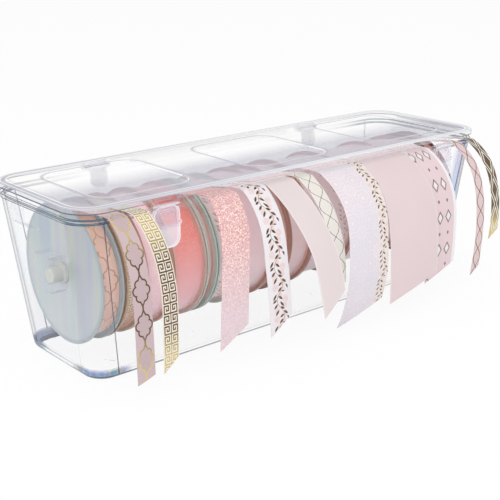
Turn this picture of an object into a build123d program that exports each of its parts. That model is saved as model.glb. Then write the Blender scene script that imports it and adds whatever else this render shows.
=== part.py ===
from build123d import *
import math
import os
from collections import namedtuple

# Ribbon dispenser, in millimetres. Z is up, X runs along the box, and the ribbons leave at the front, -Y.
# The origin is the centre of the flat face that the box stands on.

# Spools and the ribbon wound on them
flange_radius = 45.8
flange_thickness = 0.8
flange_bead = 0.35
flange_bead_width = 1.4
spool_bore_radius = 6.5
spool_hang_gap = 0.3
hub_wall = 2.0
wind_side_gap = 0.25
wind_hub_gap = 0.3
taped_end_angle = 150.0

# Rod, cradles and end knobs
rod_radius = 5.5
rod_bore = 3.5
cradle_gap = 2.55
cradle_width = 23.0
cradle_rise = 13.4
cradle_clearance = 0.3
journal_radius = 5.0
journal_tip_gap = 0.6
collar_radius = 6.8
collar_thickness = 1.6
collar_side_gap = 0.4
plug_length = 8.0
plug_clearance = 0.05

# Bin
wall = 1.8
floor_thickness = 2.5
spool_floor_gap = 12.1
spool_rim_gap = 2.1
spool_side_gap = 1.0
end_reach = 3.6
flare_length = 12.75
flare_width = 10.05
base_corner_radius = 15.0
top_corner_radius = 18.75
base_round = 6.0
inner_round = 3.5
rim_height = 3.0
wall_step = 0.85
floor_panel_size = 72.0
floor_panel_width = 56.0
floor_panel_step = 0.7
boss_y = 27.0
boss_width = 12.0
boss_height = 7.0
boss_depth = 2.5
boss_drop = 17.3
boss_ledge_height = 1.2
boss_ledge_length = 30.0

# Lid
slot_height = 3.5
rim_inset = 0.8
lid_edge_height = 3.4
lid_plate = 2.0
lid_band = 5.0
lid_edge_round = 1.0
panel_size = 72.0
panel_width = 74.0
panel_gap = 49.0
panel_step = 0.7
panel_corner = 13.0
rail_thickness = 2.2
end_rail_length = 64.0
back_rail_length = 150.0
seat_clearance = 0.3

# Hinges at the back
hinge_end_distance = 84.0
hinge_tab_width = 12.0
hinge_tab_drop = 13.3
hinge_tab_thickness = 2.0
hinge_axis_gap = 3.4
hinge_axis_drop = 2.2
hinge_barrel_radius = 2.7
hinge_pin_radius = 1.2
pin_clearance = 0.05
hinge_side_gap = 0.4
hinge_lug_width = 4.0

# Snap latches at the front
latch_left_end_distance = 59.8
latch_right_end_distance = 51.0
latch_width = 19.6
latch_length = 26.9
latch_axis_drop = 1.9
latch_face_gap = 2.6
latch_thickness = 1.8
latch_barrel_radius = 1.5
latch_pin_radius = 0.7
latch_lug_width = 3.0
latch_side_gap = 0.3
latch_ledge_rise = 14.5
latch_ledge_depth = 1.5
latch_ledge_height = 2.2
latch_window_width = 13.0
latch_window_margin = 0.9
latch_window_depth = 0.7
latch_corner = 6.0
latch_bead_gap = 0.25
latch_bead_height = 1.6

# Ribbon tails
ribbon_thickness = 0.35
rim_rest_gap = 0.35
tail_wind_gap = 0.4
shift_start_y = -14.0
rim_line_gap = 4.5
shift_stations = 3
hang_drops = (1.5, 4.0, 8.0, 14.0, 22.0, 32.0, 44.0, 58.0, 72.0, 86.0, 100.0, 112.0)
slant_drop = 45.0
narrow_drop = 30.0
drift_span = 50.0
curl_drop = 55.0
curl_span = 45.0

# One entry for each spool, from left to right: the width of its ribbon, how far its winding stops short of the
# flange's edge, and the gap before it.
Spool = namedtuple("Spool", "name width short gap")
spools = [
    Spool("trellis_peach", 12.7, 3.2, 0.0),
    Spool("greek_key", 11.3, 4.0, 2.8),
    Spool("lace_mauve", 18.0, 3.4, 1.7),
    Spool("glitter_coral", 22.2, 2.6, 1.3),
    Spool("narrow_grey", 5.5, 4.8, 1.7),
    Spool("leaf_sprig", 19.0, 3.8, 1.9),
    Spool("satin_pink", 22.2, 3.0, 1.4),
    Spool("trellis_white", 12.0, 4.2, 1.2),
    Spool("lace_peach", 18.0, 3.6, 1.2),
    Spool("lace_lilac", 38.1, 3.2, 1.1),
    Spool("satin_blush", 50.8, 2.8, 1.0),
    Spool("diamond_dot", 31.0, 3.4, 1.0),
    Spool("trellis_rose", 8.8, 4.4, 1.0),
    Spool("plaid_gold", 9.6, 3.8, 1.0),
]

# One entry for each hanging tail: its width at the rim, how far its middle has shifted in X from its spool at the
# rim and where it hangs, its drift in X near the end, how far it bows out and how soon, its curl back towards the
# box, and the heights of the left and right corners of its cut end.
Tail = namedtuple("Tail", "name rim_width rim_shift hang_shift drift bow reach curl left_z right_z")
tails = [
    Tail("trellis_peach", 12.7, -1.4, -1.2, 0.5, 24.0, 16.0, 0.0, 11.0, 15.0),
    Tail("greek_key", 11.3, -2.8, 0.2, -1.0, 26.0, 16.0, 0.0, 14.0, 23.0),
    Tail("glitter_coral", 22.2, 17.8, 10.2, -2.5, 24.0, 16.0, 0.0, 15.0, 28.0),
    Tail("leaf_sprig", 19.0, 9.9, 8.7, 3.5, 27.0, 18.0, 0.0, 14.0, 27.0),
    Tail("satin_pink", 24.0, 8.2, 19.2, 7.0, 42.0, 27.0, 0.0, 22.0, 38.0),
    Tail("trellis_white", 13.0, 10.3, 14.8, 0.0, 33.0, 20.0, 0.0, 30.0, 40.0),
    Tail("lace_lilac", 42.0, -4.7, -9.2, 0.0, 36.0, 16.0, 9.0, 3.0, 18.0),
    Tail("satin_blush", 45.0, -8.3, -7.0, 1.0, 33.0, 16.0, 0.0, 12.0, 25.0),
    Tail("diamond_dot", 25.3, -15.9, -9.3, 0.0, 24.0, 14.0, 3.0, 12.0, 24.0),
    Tail("trellis_rose", 9.0, 5.7, 7.2, 0.0, 28.0, 15.0, 3.0, 8.0, 15.0),
    Tail("plaid_gold", 9.0, 10.4, 15.9, 0.0, 26.0, 14.0, 8.0, 33.0, 40.0),
]

os.makedirs("parts", exist_ok=True)


def spool_overall(spool):
    """Length of a spool over both flanges."""
    return spool.width + 2 * (wind_side_gap + flange_thickness)


# Places that follow from the sizes above: the row of spools first, then the bin round it, and the lid on the bin
row_length = sum(spool.gap + spool_overall(spool) for spool in spools)
spool_axis_z = floor_thickness + spool_floor_gap + flange_radius
rod_axis_z = spool_axis_z + spool_bore_radius - rod_radius - spool_hang_gap
cradle_face_x = row_length / 2 + cradle_gap
rim_top_z = spool_axis_z + flange_radius + spool_rim_gap
rim_bottom_z = rim_top_z - rim_height
lid_bottom_z = rim_top_z + slot_height
overall_height = lid_bottom_z + lid_edge_height
base_length = 2 * (cradle_face_x + end_reach)
base_width = 2 * (flange_radius + spool_side_gap + wall - flare_width * spool_axis_z / rim_bottom_z)
wall_top_length = base_length + 2 * flare_length
wall_top_width = base_width + 2 * flare_width
rim_length = wall_top_length + 2 * wall_step
rim_width = wall_top_width + 2 * wall_step
rim_corner_radius = top_corner_radius + wall_step
lid_length = rim_length + 2 * rim_inset
lid_width = rim_width + 2 * rim_inset
lid_corner_radius = rim_corner_radius + rim_inset
front_y = -lid_width / 2
rim_line_y = front_y + rim_line_gap
crest_z = rim_top_z + rim_rest_gap + ribbon_thickness / 2
hinge_x = lid_length / 2 - hinge_end_distance
hinge_axis_y = lid_width / 2 + hinge_axis_gap
hinge_axis_z = lid_bottom_z - hinge_axis_drop
hinge_tab_bottom_z = rim_top_z - hinge_tab_drop
latch_left_x = latch_left_end_distance - lid_length / 2
latch_right_x = lid_length / 2 - latch_right_end_distance
latch_axis_y = front_y - latch_face_gap
latch_axis_z = lid_bottom_z - latch_axis_drop
latch_bottom_z = latch_axis_z - latch_length
panel_pitch = panel_size + panel_gap
floor_panel_pitch = panel_pitch * base_length / lid_length
boss_ledge_z = rim_top_z - boss_drop


def save(part, name):
    """Label a finished piece and write its STEP file."""
    part.label = name
    export_step(part, f"parts/{name}.step")


def wall_size(z, inset):
    """Length, width and corner radius of the tapered wall at height z, drawn in by inset."""
    share = z / rim_bottom_z
    length = base_length + (wall_top_length - base_length) * share - 2 * inset
    width = base_width + (wall_top_width - base_width) * share - 2 * inset
    radius = base_corner_radius + (top_corner_radius - base_corner_radius) * share - inset
    return length, width, radius


def wall_outline(z, inset):
    """The tapered wall's outline at height z, drawn in by inset."""
    length, width, radius = wall_size(z, inset)
    with BuildSketch(Plane.XY.offset(z)) as outline:
        RectangleRounded(length, width, radius)
    return outline.sketch


def spool_centres():
    """X of the middle of each spool, from left to right."""
    centres = {}
    x = -row_length / 2
    for spool in spools:
        x += spool.gap
        centres[spool.name] = x + spool_overall(spool) / 2
        x += spool_overall(spool)
    return centres


def cradle_part(side):
    """The cradle inside one end wall: a U about the rod's journal, open at the top."""
    with BuildPart() as cradle:
        with BuildSketch(Plane.YZ.offset(side * cradle_face_x)):
            with Locations((0, rod_axis_z)):
                Circle(cradle_width / 2)
            with Locations((0, rod_axis_z + cradle_rise / 2)):
                Rectangle(cradle_width, cradle_rise)
            with Locations((0, rod_axis_z)):
                Circle(journal_radius + cradle_clearance, mode=Mode.SUBTRACT)
            with Locations((0, rod_axis_z + cradle_rise)):
                Rectangle(2 * (journal_radius + cradle_clearance), 2 * cradle_rise, mode=Mode.SUBTRACT)
        extrude(amount=side * (end_reach + flare_length))
        loft(
            sections=[wall_outline(0, wall), wall_outline(rim_bottom_z, wall)],
            ruled=True,
            mode=Mode.INTERSECT,
        )
    return cradle.part


save(cradle_part(-1), "rod_cradle_left")
save(cradle_part(1), "rod_cradle_right")

def end_ledge_part(side):
    """A small boss on a ledge inside one end wall, near the back."""
    boss_face_x = wall_size(boss_ledge_z, wall)[0] / 2 - boss_depth
    with BuildPart() as ledge:
        with BuildSketch(Plane.YZ.offset(side * boss_face_x)):
            with Locations((boss_y, boss_ledge_z + boss_height / 2)):
                SlotOverall(boss_height + boss_width, boss_width, rotation=90)
            with Locations((boss_y, boss_ledge_z - boss_height)):
                Rectangle(2 * boss_width, 2 * boss_height, mode=Mode.SUBTRACT)
            with Locations((boss_y - boss_ledge_length / 2 + boss_width / 2, boss_ledge_z)):
                Rectangle(boss_ledge_length, boss_ledge_height)
        extrude(amount=side * (boss_depth + flare_length))
        loft(
            sections=[wall_outline(0, wall), wall_outline(rim_bottom_z, wall)],
            ruled=True,
            mode=Mode.INTERSECT,
        )
    return ledge.part


save(end_ledge_part(-1), "end_ledge_left")
save(end_ledge_part(1), "end_ledge_right")

# The bin's outer shape: a tapered block with a rounded base and a rim
with BuildPart() as outer_shape:
    loft(sections=[wall_outline(0, 0), wall_outline(rim_bottom_z, 0)], ruled=True)
    fillet(outer_shape.faces().sort_by(Axis.Z)[0].edges(), base_round)
    with BuildSketch(Plane.XY.offset(rim_bottom_z)):
        RectangleRounded(rim_length, rim_width, rim_corner_radius)
    extrude(amount=rim_height)

# Bin: the outer shape hollowed out, with a round between its walls and its floor
floor_top_z = floor_thickness + floor_panel_step
with BuildPart() as bin_shell:
    add(outer_shape.part)
    loft(
        sections=[wall_outline(floor_thickness, wall), wall_outline(rim_top_z, wall)],
        ruled=True,
        mode=Mode.SUBTRACT,
    )
    floor_face = bin_shell.faces().filter_by(Plane.XY).filter_by_position(
        Axis.Z, floor_thickness - wall / 2, floor_thickness + wall / 2
    )
    fillet(floor_face.edges(), inner_round)

# It is written as its front and back walls, its two ends and its floor with three raised panels
end_split_x = base_length / 2 - base_corner_radius - inner_round
with BuildPart() as bin_walls:
    add(bin_shell.part)
    split(bisect_by=Plane.XY.offset(floor_top_z), keep=Keep.TOP)

with BuildPart() as front_and_back:
    add(bin_walls.part)
    split(bisect_by=Plane.YZ.offset(end_split_x), keep=Keep.BOTTOM)
    split(bisect_by=Plane.YZ.offset(-end_split_x), keep=Keep.TOP)
save(front_and_back.part, "bin")

for end_name, side, kept in (("left", -1, Keep.BOTTOM), ("right", 1, Keep.TOP)):
    with BuildPart() as bin_end:
        add(bin_walls.part)
        split(bisect_by=Plane.YZ.offset(side * end_split_x), keep=kept)
    save(bin_end.part, f"bin_end_{end_name}")

with BuildPart() as bin_floor:
    add(bin_shell.part)
    split(bisect_by=Plane.XY.offset(floor_top_z), keep=Keep.BOTTOM)
    with BuildSketch(Plane.XY.offset(floor_thickness)):
        with GridLocations(floor_panel_pitch, 0, 3, 1):
            RectangleRounded(floor_panel_size, floor_panel_width, panel_corner)
    extrude(amount=floor_panel_step)
save(bin_floor.part, "bin_floor")

# Ears of the two hinges: a tab with a rounded bottom on the back wall, and the barrel above it
with BuildPart() as hinge_ears:
    for side in (-1, 1):
        with BuildSketch(Plane.XZ.offset(-(rim_width / 2 + hinge_tab_thickness))):
            with Locations((side * hinge_x, (rim_top_z + hinge_tab_bottom_z) / 2)):
                RectangleRounded(hinge_tab_width, rim_top_z - hinge_tab_bottom_z, hinge_tab_width / 3)
            with Locations((side * hinge_x, rim_top_z - hinge_tab_width / 4)):
                Rectangle(hinge_tab_width, hinge_tab_width / 2)
        extrude(amount=hinge_tab_thickness + wall_step + 2 * wall)
        with BuildSketch(Plane.YZ.offset(side * hinge_x - hinge_tab_width / 2)):
            with Locations((hinge_axis_y, hinge_axis_z)):
                Circle(hinge_barrel_radius)
            with BuildLine():
                Polyline(
                    (hinge_axis_y, hinge_axis_z - hinge_barrel_radius),
                    (hinge_axis_y, hinge_axis_z),
                    (rim_width / 2 - wall, rim_top_z),
                    (rim_width / 2 - wall, rim_bottom_z - rim_height),
                    (hinge_axis_y, hinge_axis_z - hinge_barrel_radius),
                )
            make_face()
        extrude(amount=hinge_tab_width)
        with BuildSketch(Plane.YZ.offset(side * hinge_x - hinge_tab_width / 2)):
            with Locations((hinge_axis_y, hinge_axis_z)):
                Circle(hinge_pin_radius + pin_clearance)
        extrude(amount=hinge_tab_width, mode=Mode.SUBTRACT)
    add(outer_shape.part, mode=Mode.SUBTRACT)
save(hinge_ears.part, "hinge_ears")

# Lid: a shallow tray upside down, with three stepped panels and rails that rest on the rim on three sides
with BuildPart() as lid:
    with BuildSketch(Plane.XY.offset(lid_bottom_z)):
        RectangleRounded(lid_length, lid_width, lid_corner_radius)
    extrude(amount=lid_edge_height)
    fillet(lid.faces().sort_by(Axis.Z)[-1].edges(), lid_edge_round)
    with BuildSketch(Plane.XY.offset(lid_bottom_z)):
        RectangleRounded(
            lid_length - 2 * lid_band, lid_width - 2 * lid_band, lid_corner_radius - lid_band
        )
    extrude(amount=lid_edge_height - lid_plate, mode=Mode.SUBTRACT)
    with BuildSketch(Plane.XY.offset(overall_height)):
        with GridLocations(panel_pitch, 0, 3, 1):
            RectangleRounded(panel_size, panel_width, panel_corner)
    extrude(amount=-panel_step, mode=Mode.SUBTRACT)
    with BuildSketch(Plane.XY.offset(overall_height - lid_plate)):
        with GridLocations(panel_pitch, 0, 3, 1):
            RectangleRounded(panel_size + panel_step, panel_width + panel_step, panel_corner)
    extrude(amount=-panel_step)
    with BuildSketch(Plane.XY.offset(rim_top_z + seat_clearance)):
        for side in (-1, 1):
            with Locations((side * (rim_length / 2 - rail_thickness / 2 - rim_inset), 0)):
                Rectangle(rail_thickness, end_rail_length)
        with Locations((0, rim_width / 2 - rail_thickness / 2 - rim_inset)):
            Rectangle(back_rail_length, rail_thickness)
    extrude(amount=slot_height - seat_clearance + lid_edge_height / 2)
    # Two lugs beside each hinge ear, with the bore for the hinge pin
    for side in (-1, 1):
        for end in (-1, 1):
            lug_x = side * hinge_x + end * (hinge_tab_width / 2 + hinge_side_gap + hinge_lug_width / 2)
            with BuildSketch(Plane.YZ.offset(lug_x - hinge_lug_width / 2)):
                with Locations((hinge_axis_y, hinge_axis_z)):
                    Circle(hinge_barrel_radius)
                with BuildLine():
                    Polyline(
                        (hinge_axis_y + hinge_barrel_radius, hinge_axis_z),
                        (hinge_axis_y - hinge_barrel_radius / 2, overall_height - lid_edge_round),
                        (lid_width / 2 - lid_band, overall_height - lid_edge_round),
                        (lid_width / 2 - lid_band, lid_bottom_z),
                        (hinge_axis_y - hinge_barrel_radius / 2, lid_bottom_z),
                        (hinge_axis_y - hinge_barrel_radius, hinge_axis_z),
                        (hinge_axis_y + hinge_barrel_radius, hinge_axis_z),
                    )
                make_face()
            extrude(amount=hinge_lug_width)
            with BuildSketch(Plane.YZ.offset(lug_x - hinge_lug_width / 2)):
                with Locations((hinge_axis_y, hinge_axis_z)):
                    Circle(hinge_pin_radius + pin_clearance)
            extrude(amount=hinge_lug_width, mode=Mode.SUBTRACT)
    # Two small lugs beside each latch, with the bore for its pin
    for latch_x in (latch_left_x, latch_right_x):
        for end in (-1, 1):
            lug_x = latch_x + end * (latch_width / 2 - latch_lug_width / 2)
            with BuildSketch(Plane.YZ.offset(lug_x - latch_lug_width / 2)):
                with Locations((latch_axis_y, latch_axis_z)):
                    Circle(latch_barrel_radius)
                with BuildLine():
                    Polyline(
                        (latch_axis_y - latch_barrel_radius, latch_axis_z),
                        (latch_axis_y - latch_barrel_radius, lid_bottom_z + latch_barrel_radius),
                        (front_y + lid_band / 2, lid_bottom_z + latch_barrel_radius),
                        (front_y + lid_band / 2, lid_bottom_z),
                        (latch_axis_y + latch_barrel_radius, lid_bottom_z),
                        (latch_axis_y + latch_barrel_radius, latch_axis_z),
                        (latch_axis_y - latch_barrel_radius, latch_axis_z),
                    )
                make_face()
            extrude(amount=latch_lug_width)
            with BuildSketch(Plane.YZ.offset(lug_x - latch_lug_width / 2)):
                with Locations((latch_axis_y, latch_axis_z)):
                    Circle(latch_pin_radius + pin_clearance)
            extrude(amount=latch_lug_width, mode=Mode.SUBTRACT)
save(lid.part, "lid")

# Hinge pins, one through each hinge
hinge_pin_length = hinge_tab_width + 2 * (hinge_side_gap + hinge_lug_width)
with BuildPart() as hinge_pins:
    for side in (-1, 1):
        with BuildSketch(Plane.YZ.offset(side * hinge_x - hinge_pin_length / 2)):
            with Locations((hinge_axis_y, hinge_axis_z)):
                Circle(hinge_pin_radius)
        extrude(amount=hinge_pin_length)
save(hinge_pins.part, "hinge_pins")

# Latch pins, one through each latch
with BuildPart() as latch_pins:
    for latch_x in (latch_left_x, latch_right_x):
        with BuildSketch(Plane.YZ.offset(latch_x - latch_width / 2)):
            with Locations((latch_axis_y, latch_axis_z)):
                Circle(latch_pin_radius)
        extrude(amount=latch_width)
save(latch_pins.part, "latch_pins")


def latch_part(latch_x):
    """A snap latch: barrel on the pin, plate with a sunk window, ledge, finger pull and snap bead."""
    back_y = latch_axis_y + latch_thickness / 2
    barrel_width = latch_width - 2 * (latch_lug_width + latch_side_gap)
    plate_top_z = latch_axis_z - latch_barrel_radius - latch_side_gap
    plate_height = plate_top_z - latch_bottom_z
    ledge_z = latch_bottom_z + latch_ledge_rise
    window_bottom_z = ledge_z + latch_ledge_height + latch_window_margin
    window_height = plate_top_z - latch_window_margin - window_bottom_z
    with BuildPart() as latch:
        with BuildSketch(Plane.XZ.offset(-back_y)):
            with Locations((latch_x, latch_bottom_z + plate_height / 2)):
                Rectangle(latch_width, plate_height)
        extrude(amount=latch_thickness)
        fillet(latch.edges().filter_by(Axis.Y).group_by(Axis.Z)[0], latch_corner)
        with BuildSketch(Plane.XY.offset(ledge_z)):
            with Locations((latch_x, back_y - latch_thickness - latch_ledge_depth / 2)):
                Rectangle(latch_width, latch_ledge_depth)
        extrude(amount=latch_ledge_height)
        with BuildSketch(Plane.XZ.offset(-(back_y - latch_thickness))):
            with Locations((latch_x, window_bottom_z + window_height / 2)):
                Rectangle(latch_window_width, window_height)
        extrude(amount=-latch_window_depth, mode=Mode.SUBTRACT)
        with BuildSketch(Plane.YZ.offset(latch_x - barrel_width / 2)):
            with Locations((latch_axis_y, latch_axis_z)):
                Circle(latch_barrel_radius)
            with Locations((latch_axis_y, (latch_axis_z + plate_top_z) / 2)):
                Rectangle(latch_thickness, latch_axis_z - plate_top_z)
            with Locations((latch_axis_y, latch_axis_z)):
                Circle(latch_pin_radius + pin_clearance, mode=Mode.SUBTRACT)
        extrude(amount=barrel_width)
        bead_depth = -(rim_width / 2 + latch_bead_gap) - back_y
        with BuildSketch(Plane.XY.offset(rim_bottom_z - latch_bead_height - latch_bead_gap)):
            with Locations((latch_x, back_y + bead_depth / 2)):
                Rectangle(barrel_width, bead_depth)
        extrude(amount=latch_bead_height)
    return latch.part


save(latch_part(latch_left_x), "latch_left")
save(latch_part(latch_right_x), "latch_right")

# Rod: a tube that carries the spools, with a plugged journal and collar at each end
rod_end_x = row_length / 2 + collar_side_gap
with BuildPart() as rod:
    with BuildSketch(Plane.YZ.offset(-rod_end_x)):
        with Locations((0, rod_axis_z)):
            Circle(rod_radius)
            Circle(rod_bore, mode=Mode.SUBTRACT)
    extrude(amount=2 * rod_end_x)
save(rod.part, "rod")


def rod_knob(side):
    """End knob of the rod: a plug in the tube, a collar against it and a journal in the cradle."""
    wall_x = wall_size(rod_axis_z - journal_radius, wall)[0] / 2
    journal_length = wall_x - journal_tip_gap - rod_end_x
    face_x = side * rod_end_x
    with BuildPart() as knob:
        with BuildSketch(Plane.YZ.offset(face_x)):
            with Locations((0, rod_axis_z)):
                Circle(rod_bore - plug_clearance)
        extrude(amount=-side * plug_length)
        with BuildSketch(Plane.YZ.offset(face_x)):
            with Locations((0, rod_axis_z)):
                Circle(collar_radius)
        extrude(amount=side * collar_thickness)
        with BuildSketch(Plane.YZ.offset(face_x)):
            with Locations((0, rod_axis_z)):
                Circle(journal_radius)
        extrude(amount=side * journal_length)
        tip_face = knob.faces().sort_by(Axis.X)[-1 if side > 0 else 0]
        fillet(tip_face.edges(), journal_radius / 4)
    return knob.part


save(rod_knob(-1), "rod_knob_left")
save(rod_knob(1), "rod_knob_right")


def spool_part(spool, centre_x):
    """A spool: a hub between two thin flanges, each with a bead round its edge."""
    outer_x = spool_overall(spool) / 2
    inner_x = outer_x - flange_thickness
    hub_radius = spool_bore_radius + hub_wall
    bead_radius = flange_radius - flange_bead_width
    axis = Axis((centre_x, 0, spool_axis_z), (1, 0, 0))
    with BuildPart() as body:
        with BuildSketch(Plane.XZ.offset(0)):
            with BuildLine():
                Polyline(
                    (centre_x - outer_x, spool_axis_z + spool_bore_radius),
                    (centre_x + outer_x, spool_axis_z + spool_bore_radius),
                    (centre_x + outer_x, spool_axis_z + bead_radius),
                    (centre_x + outer_x + flange_bead, spool_axis_z + bead_radius + flange_bead),
                    (centre_x + outer_x + flange_bead, spool_axis_z + flange_radius),
                    (centre_x + inner_x, spool_axis_z + flange_radius),
                    (centre_x + inner_x, spool_axis_z + hub_radius),
                    (centre_x - inner_x, spool_axis_z + hub_radius),
                    (centre_x - inner_x, spool_axis_z + flange_radius),
                    (centre_x - outer_x - flange_bead, spool_axis_z + flange_radius),
                    (centre_x - outer_x - flange_bead, spool_axis_z + bead_radius + flange_bead),
                    (centre_x - outer_x, spool_axis_z + bead_radius),
                    close=True,
                )
            make_face()
        revolve(axis=axis)
    return body.part


def winding_radius(spool):
    """Outer radius of the ribbon wound on a spool."""
    return flange_radius - spool.short


def spiral_point(spool, end_angle, turned):
    """A point of the outer layer, turned degrees back along the ribbon from its outer end."""
    radius = winding_radius(spool) - ribbon_thickness * turned / 360
    angle = math.radians(end_angle - turned)
    return radius * math.cos(angle), spool_axis_z + radius * math.sin(angle)


def winding_part(spool, centre_x, end_angle):
    """The ribbon wound on a spool: a core whose outer layer winds up to the end at end_angle."""
    with BuildPart() as winding:
        with BuildSketch(Plane.YZ.offset(centre_x - spool.width / 2)):
            with BuildLine():
                for quarter in (0, 90, 180, 270):
                    ThreePointArc(
                        spiral_point(spool, end_angle, quarter),
                        spiral_point(spool, end_angle, quarter + 45),
                        spiral_point(spool, end_angle, quarter + 90),
                    )
                Line(spiral_point(spool, end_angle, 360), spiral_point(spool, end_angle, 0))
            make_face()
            with Locations((0, spool_axis_z)):
                Circle(spool_bore_radius + hub_wall + wind_hub_gap, mode=Mode.SUBTRACT)
        extrude(amount=spool.width)
    return winding.part


def tail_lift(spool):
    """Radius at which a tail leaves its winding, at the middle of its thickness."""
    return winding_radius(spool) + tail_wind_gap + ribbon_thickness / 2


def leaving_angle(spool):
    """Angle about the spool, from +Y towards +Z, where a straight line to the rim leaves the winding."""
    reach_z = crest_z - spool_axis_z
    distance = math.hypot(rim_line_y, reach_z)
    to_rim = math.degrees(math.atan2(reach_z, rim_line_y))
    return to_rim - math.degrees(math.acos(tail_lift(spool) / distance))


tailed_spools = {tail.name for tail in tails}
for spool in spools:
    centre = spool_centres()[spool.name]
    end_angle = leaving_angle(spool) if spool.name in tailed_spools else taped_end_angle
    save(spool_part(spool, centre), f"spool_{spool.name}")
    save(winding_part(spool, centre, end_angle), f"wound_{spool.name}")


def inner_stations(tail, spool, centre_x):
    """Stations of a tail from its winding to the rim, each (x, y, z, width)."""
    angle = math.radians(leaving_angle(spool))
    start_y = tail_lift(spool) * math.cos(angle)
    start_z = spool_axis_z + tail_lift(spool) * math.sin(angle)
    ys = [start_y, shift_start_y]
    ys += [
        shift_start_y + (rim_line_y - shift_start_y) * step / shift_stations
        for step in range(1, shift_stations + 1)
    ]
    stations = []
    for y in ys:
        share = max(0.0, (shift_start_y - y) / (shift_start_y - rim_line_y))
        ease = share * share * (3 - 2 * share)
        z = start_z + (crest_z - start_z) * (start_y - y) / (start_y - rim_line_y)
        x = centre_x + tail.rim_shift * ease
        width = spool.width + (tail.rim_width - spool.width) * ease
        stations.append((x, y, z, width))
    return stations


def hanging_station(tail, spool, centre_x, drop):
    """One station of the hanging part, drop millimetres below the rim."""
    x = centre_x + tail.rim_shift + (tail.hang_shift - tail.rim_shift) * min(1.0, drop / slant_drop)
    x += tail.drift * max(0.0, (drop - slant_drop) / drift_span)
    y = front_y - tail.bow * (1 - math.exp(-drop / tail.reach))
    y += tail.curl * max(0.0, (drop - curl_drop) / curl_span) ** 2
    width = tail.rim_width + (spool.width - tail.rim_width) * min(1.0, drop / narrow_drop)
    return x, y, crest_z - drop, width


def tail_stations(tail, spool, centre_x):
    """All stations of a tail, from its winding over the rim to below its cut end."""
    end_drop = crest_z - min(tail.left_z, tail.right_z)
    drops = [0.0] + [drop for drop in hang_drops if drop < end_drop - 4] + [end_drop + 0.5]
    return inner_stations(tail, spool, centre_x) + [
        hanging_station(tail, spool, centre_x, drop) for drop in drops
    ]


def tail_part(tail, spool, centre_x):
    """A ribbon tail: thin cross-sections along its stations, cut on the slant at its end."""
    stations = tail_stations(tail, spool, centre_x)
    sections = []
    for index, (x, y, z, width) in enumerate(stations):
        before = stations[max(0, index - 1)]
        after = stations[min(len(stations) - 1, index + 1)]
        along = Vector(0, after[1] - before[1], after[2] - before[2])
        with BuildSketch(Plane(origin=(x, y, z), x_dir=(1, 0, 0), z_dir=along)) as section:
            Rectangle(width, ribbon_thickness)
        sections.append(section.sketch)
    end_x = stations[-1][0]
    cut_along = Vector(spool.width, 0, tail.right_z - tail.left_z)
    cut_up = Vector(0, 1, 0).cross(cut_along) * -1
    cut_plane = Plane(
        origin=(end_x, 0, (tail.left_z + tail.right_z) / 2), x_dir=(0, 1, 0), z_dir=cut_up
    )
    with BuildPart() as band:
        loft(sections=sections, ruled=True)
        split(bisect_by=cut_plane, keep=Keep.TOP)
    return band.part


spool_by_name = {spool.name: spool for spool in spools}
for tail in tails:
    save(
        tail_part(tail, spool_by_name[tail.name], spool_centres()[tail.name]),
        f"tail_{tail.name}",
    )
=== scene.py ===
"""Ribbon dispenser: clear plastic box, spools of printed ribbon and the tails that hang out over its rim.

Lengths are in millimetres, except where a comment gives another unit. Colours are as they look on a screen.
"""

import logging
import math
from collections.abc import Iterable, Sequence
from dataclasses import dataclass, field, replace
from enum import Enum
from functools import reduce

import bmesh
import bpy
from mathutils import Matrix, Vector


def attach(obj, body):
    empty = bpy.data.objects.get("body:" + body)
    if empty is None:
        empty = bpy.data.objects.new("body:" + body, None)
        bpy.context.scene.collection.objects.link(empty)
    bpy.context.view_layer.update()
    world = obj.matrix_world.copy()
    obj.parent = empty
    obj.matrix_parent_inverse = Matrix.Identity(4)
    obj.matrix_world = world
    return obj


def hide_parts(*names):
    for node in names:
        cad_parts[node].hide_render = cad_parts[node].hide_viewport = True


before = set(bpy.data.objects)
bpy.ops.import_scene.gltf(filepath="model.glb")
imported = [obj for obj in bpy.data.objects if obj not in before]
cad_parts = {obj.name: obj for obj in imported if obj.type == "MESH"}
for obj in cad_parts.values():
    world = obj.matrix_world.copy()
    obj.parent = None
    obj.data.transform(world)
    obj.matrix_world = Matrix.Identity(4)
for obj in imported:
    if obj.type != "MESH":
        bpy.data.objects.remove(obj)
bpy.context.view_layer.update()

MM = 0.001
TURN = 2 * math.pi
PLASTIC_IOR = 1.49
SEEN_RAYS = ("Camera", "Glossy", "Transmission")
CLEAR_SHARE = 0.95
FITTING_SHARE = 0.9
EDGE_ON_POWER = 1.5

Triple = tuple[float, float, float]
Colour = Triple
Station = tuple[float, float, float, float]

log = logging.getLogger("ribbon_dispenser")


# ---------------------------------------------------------------- node trees


def linear(colour: Colour) -> tuple[float, float, float, float]:
    """A colour as it looks on a screen, turned into the light values that a shader takes."""
    return (*(v / 12.92 if v <= 0.04045 else ((v + 0.055) / 1.055) ** 2.4 for v in colour), 1.0)


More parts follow.
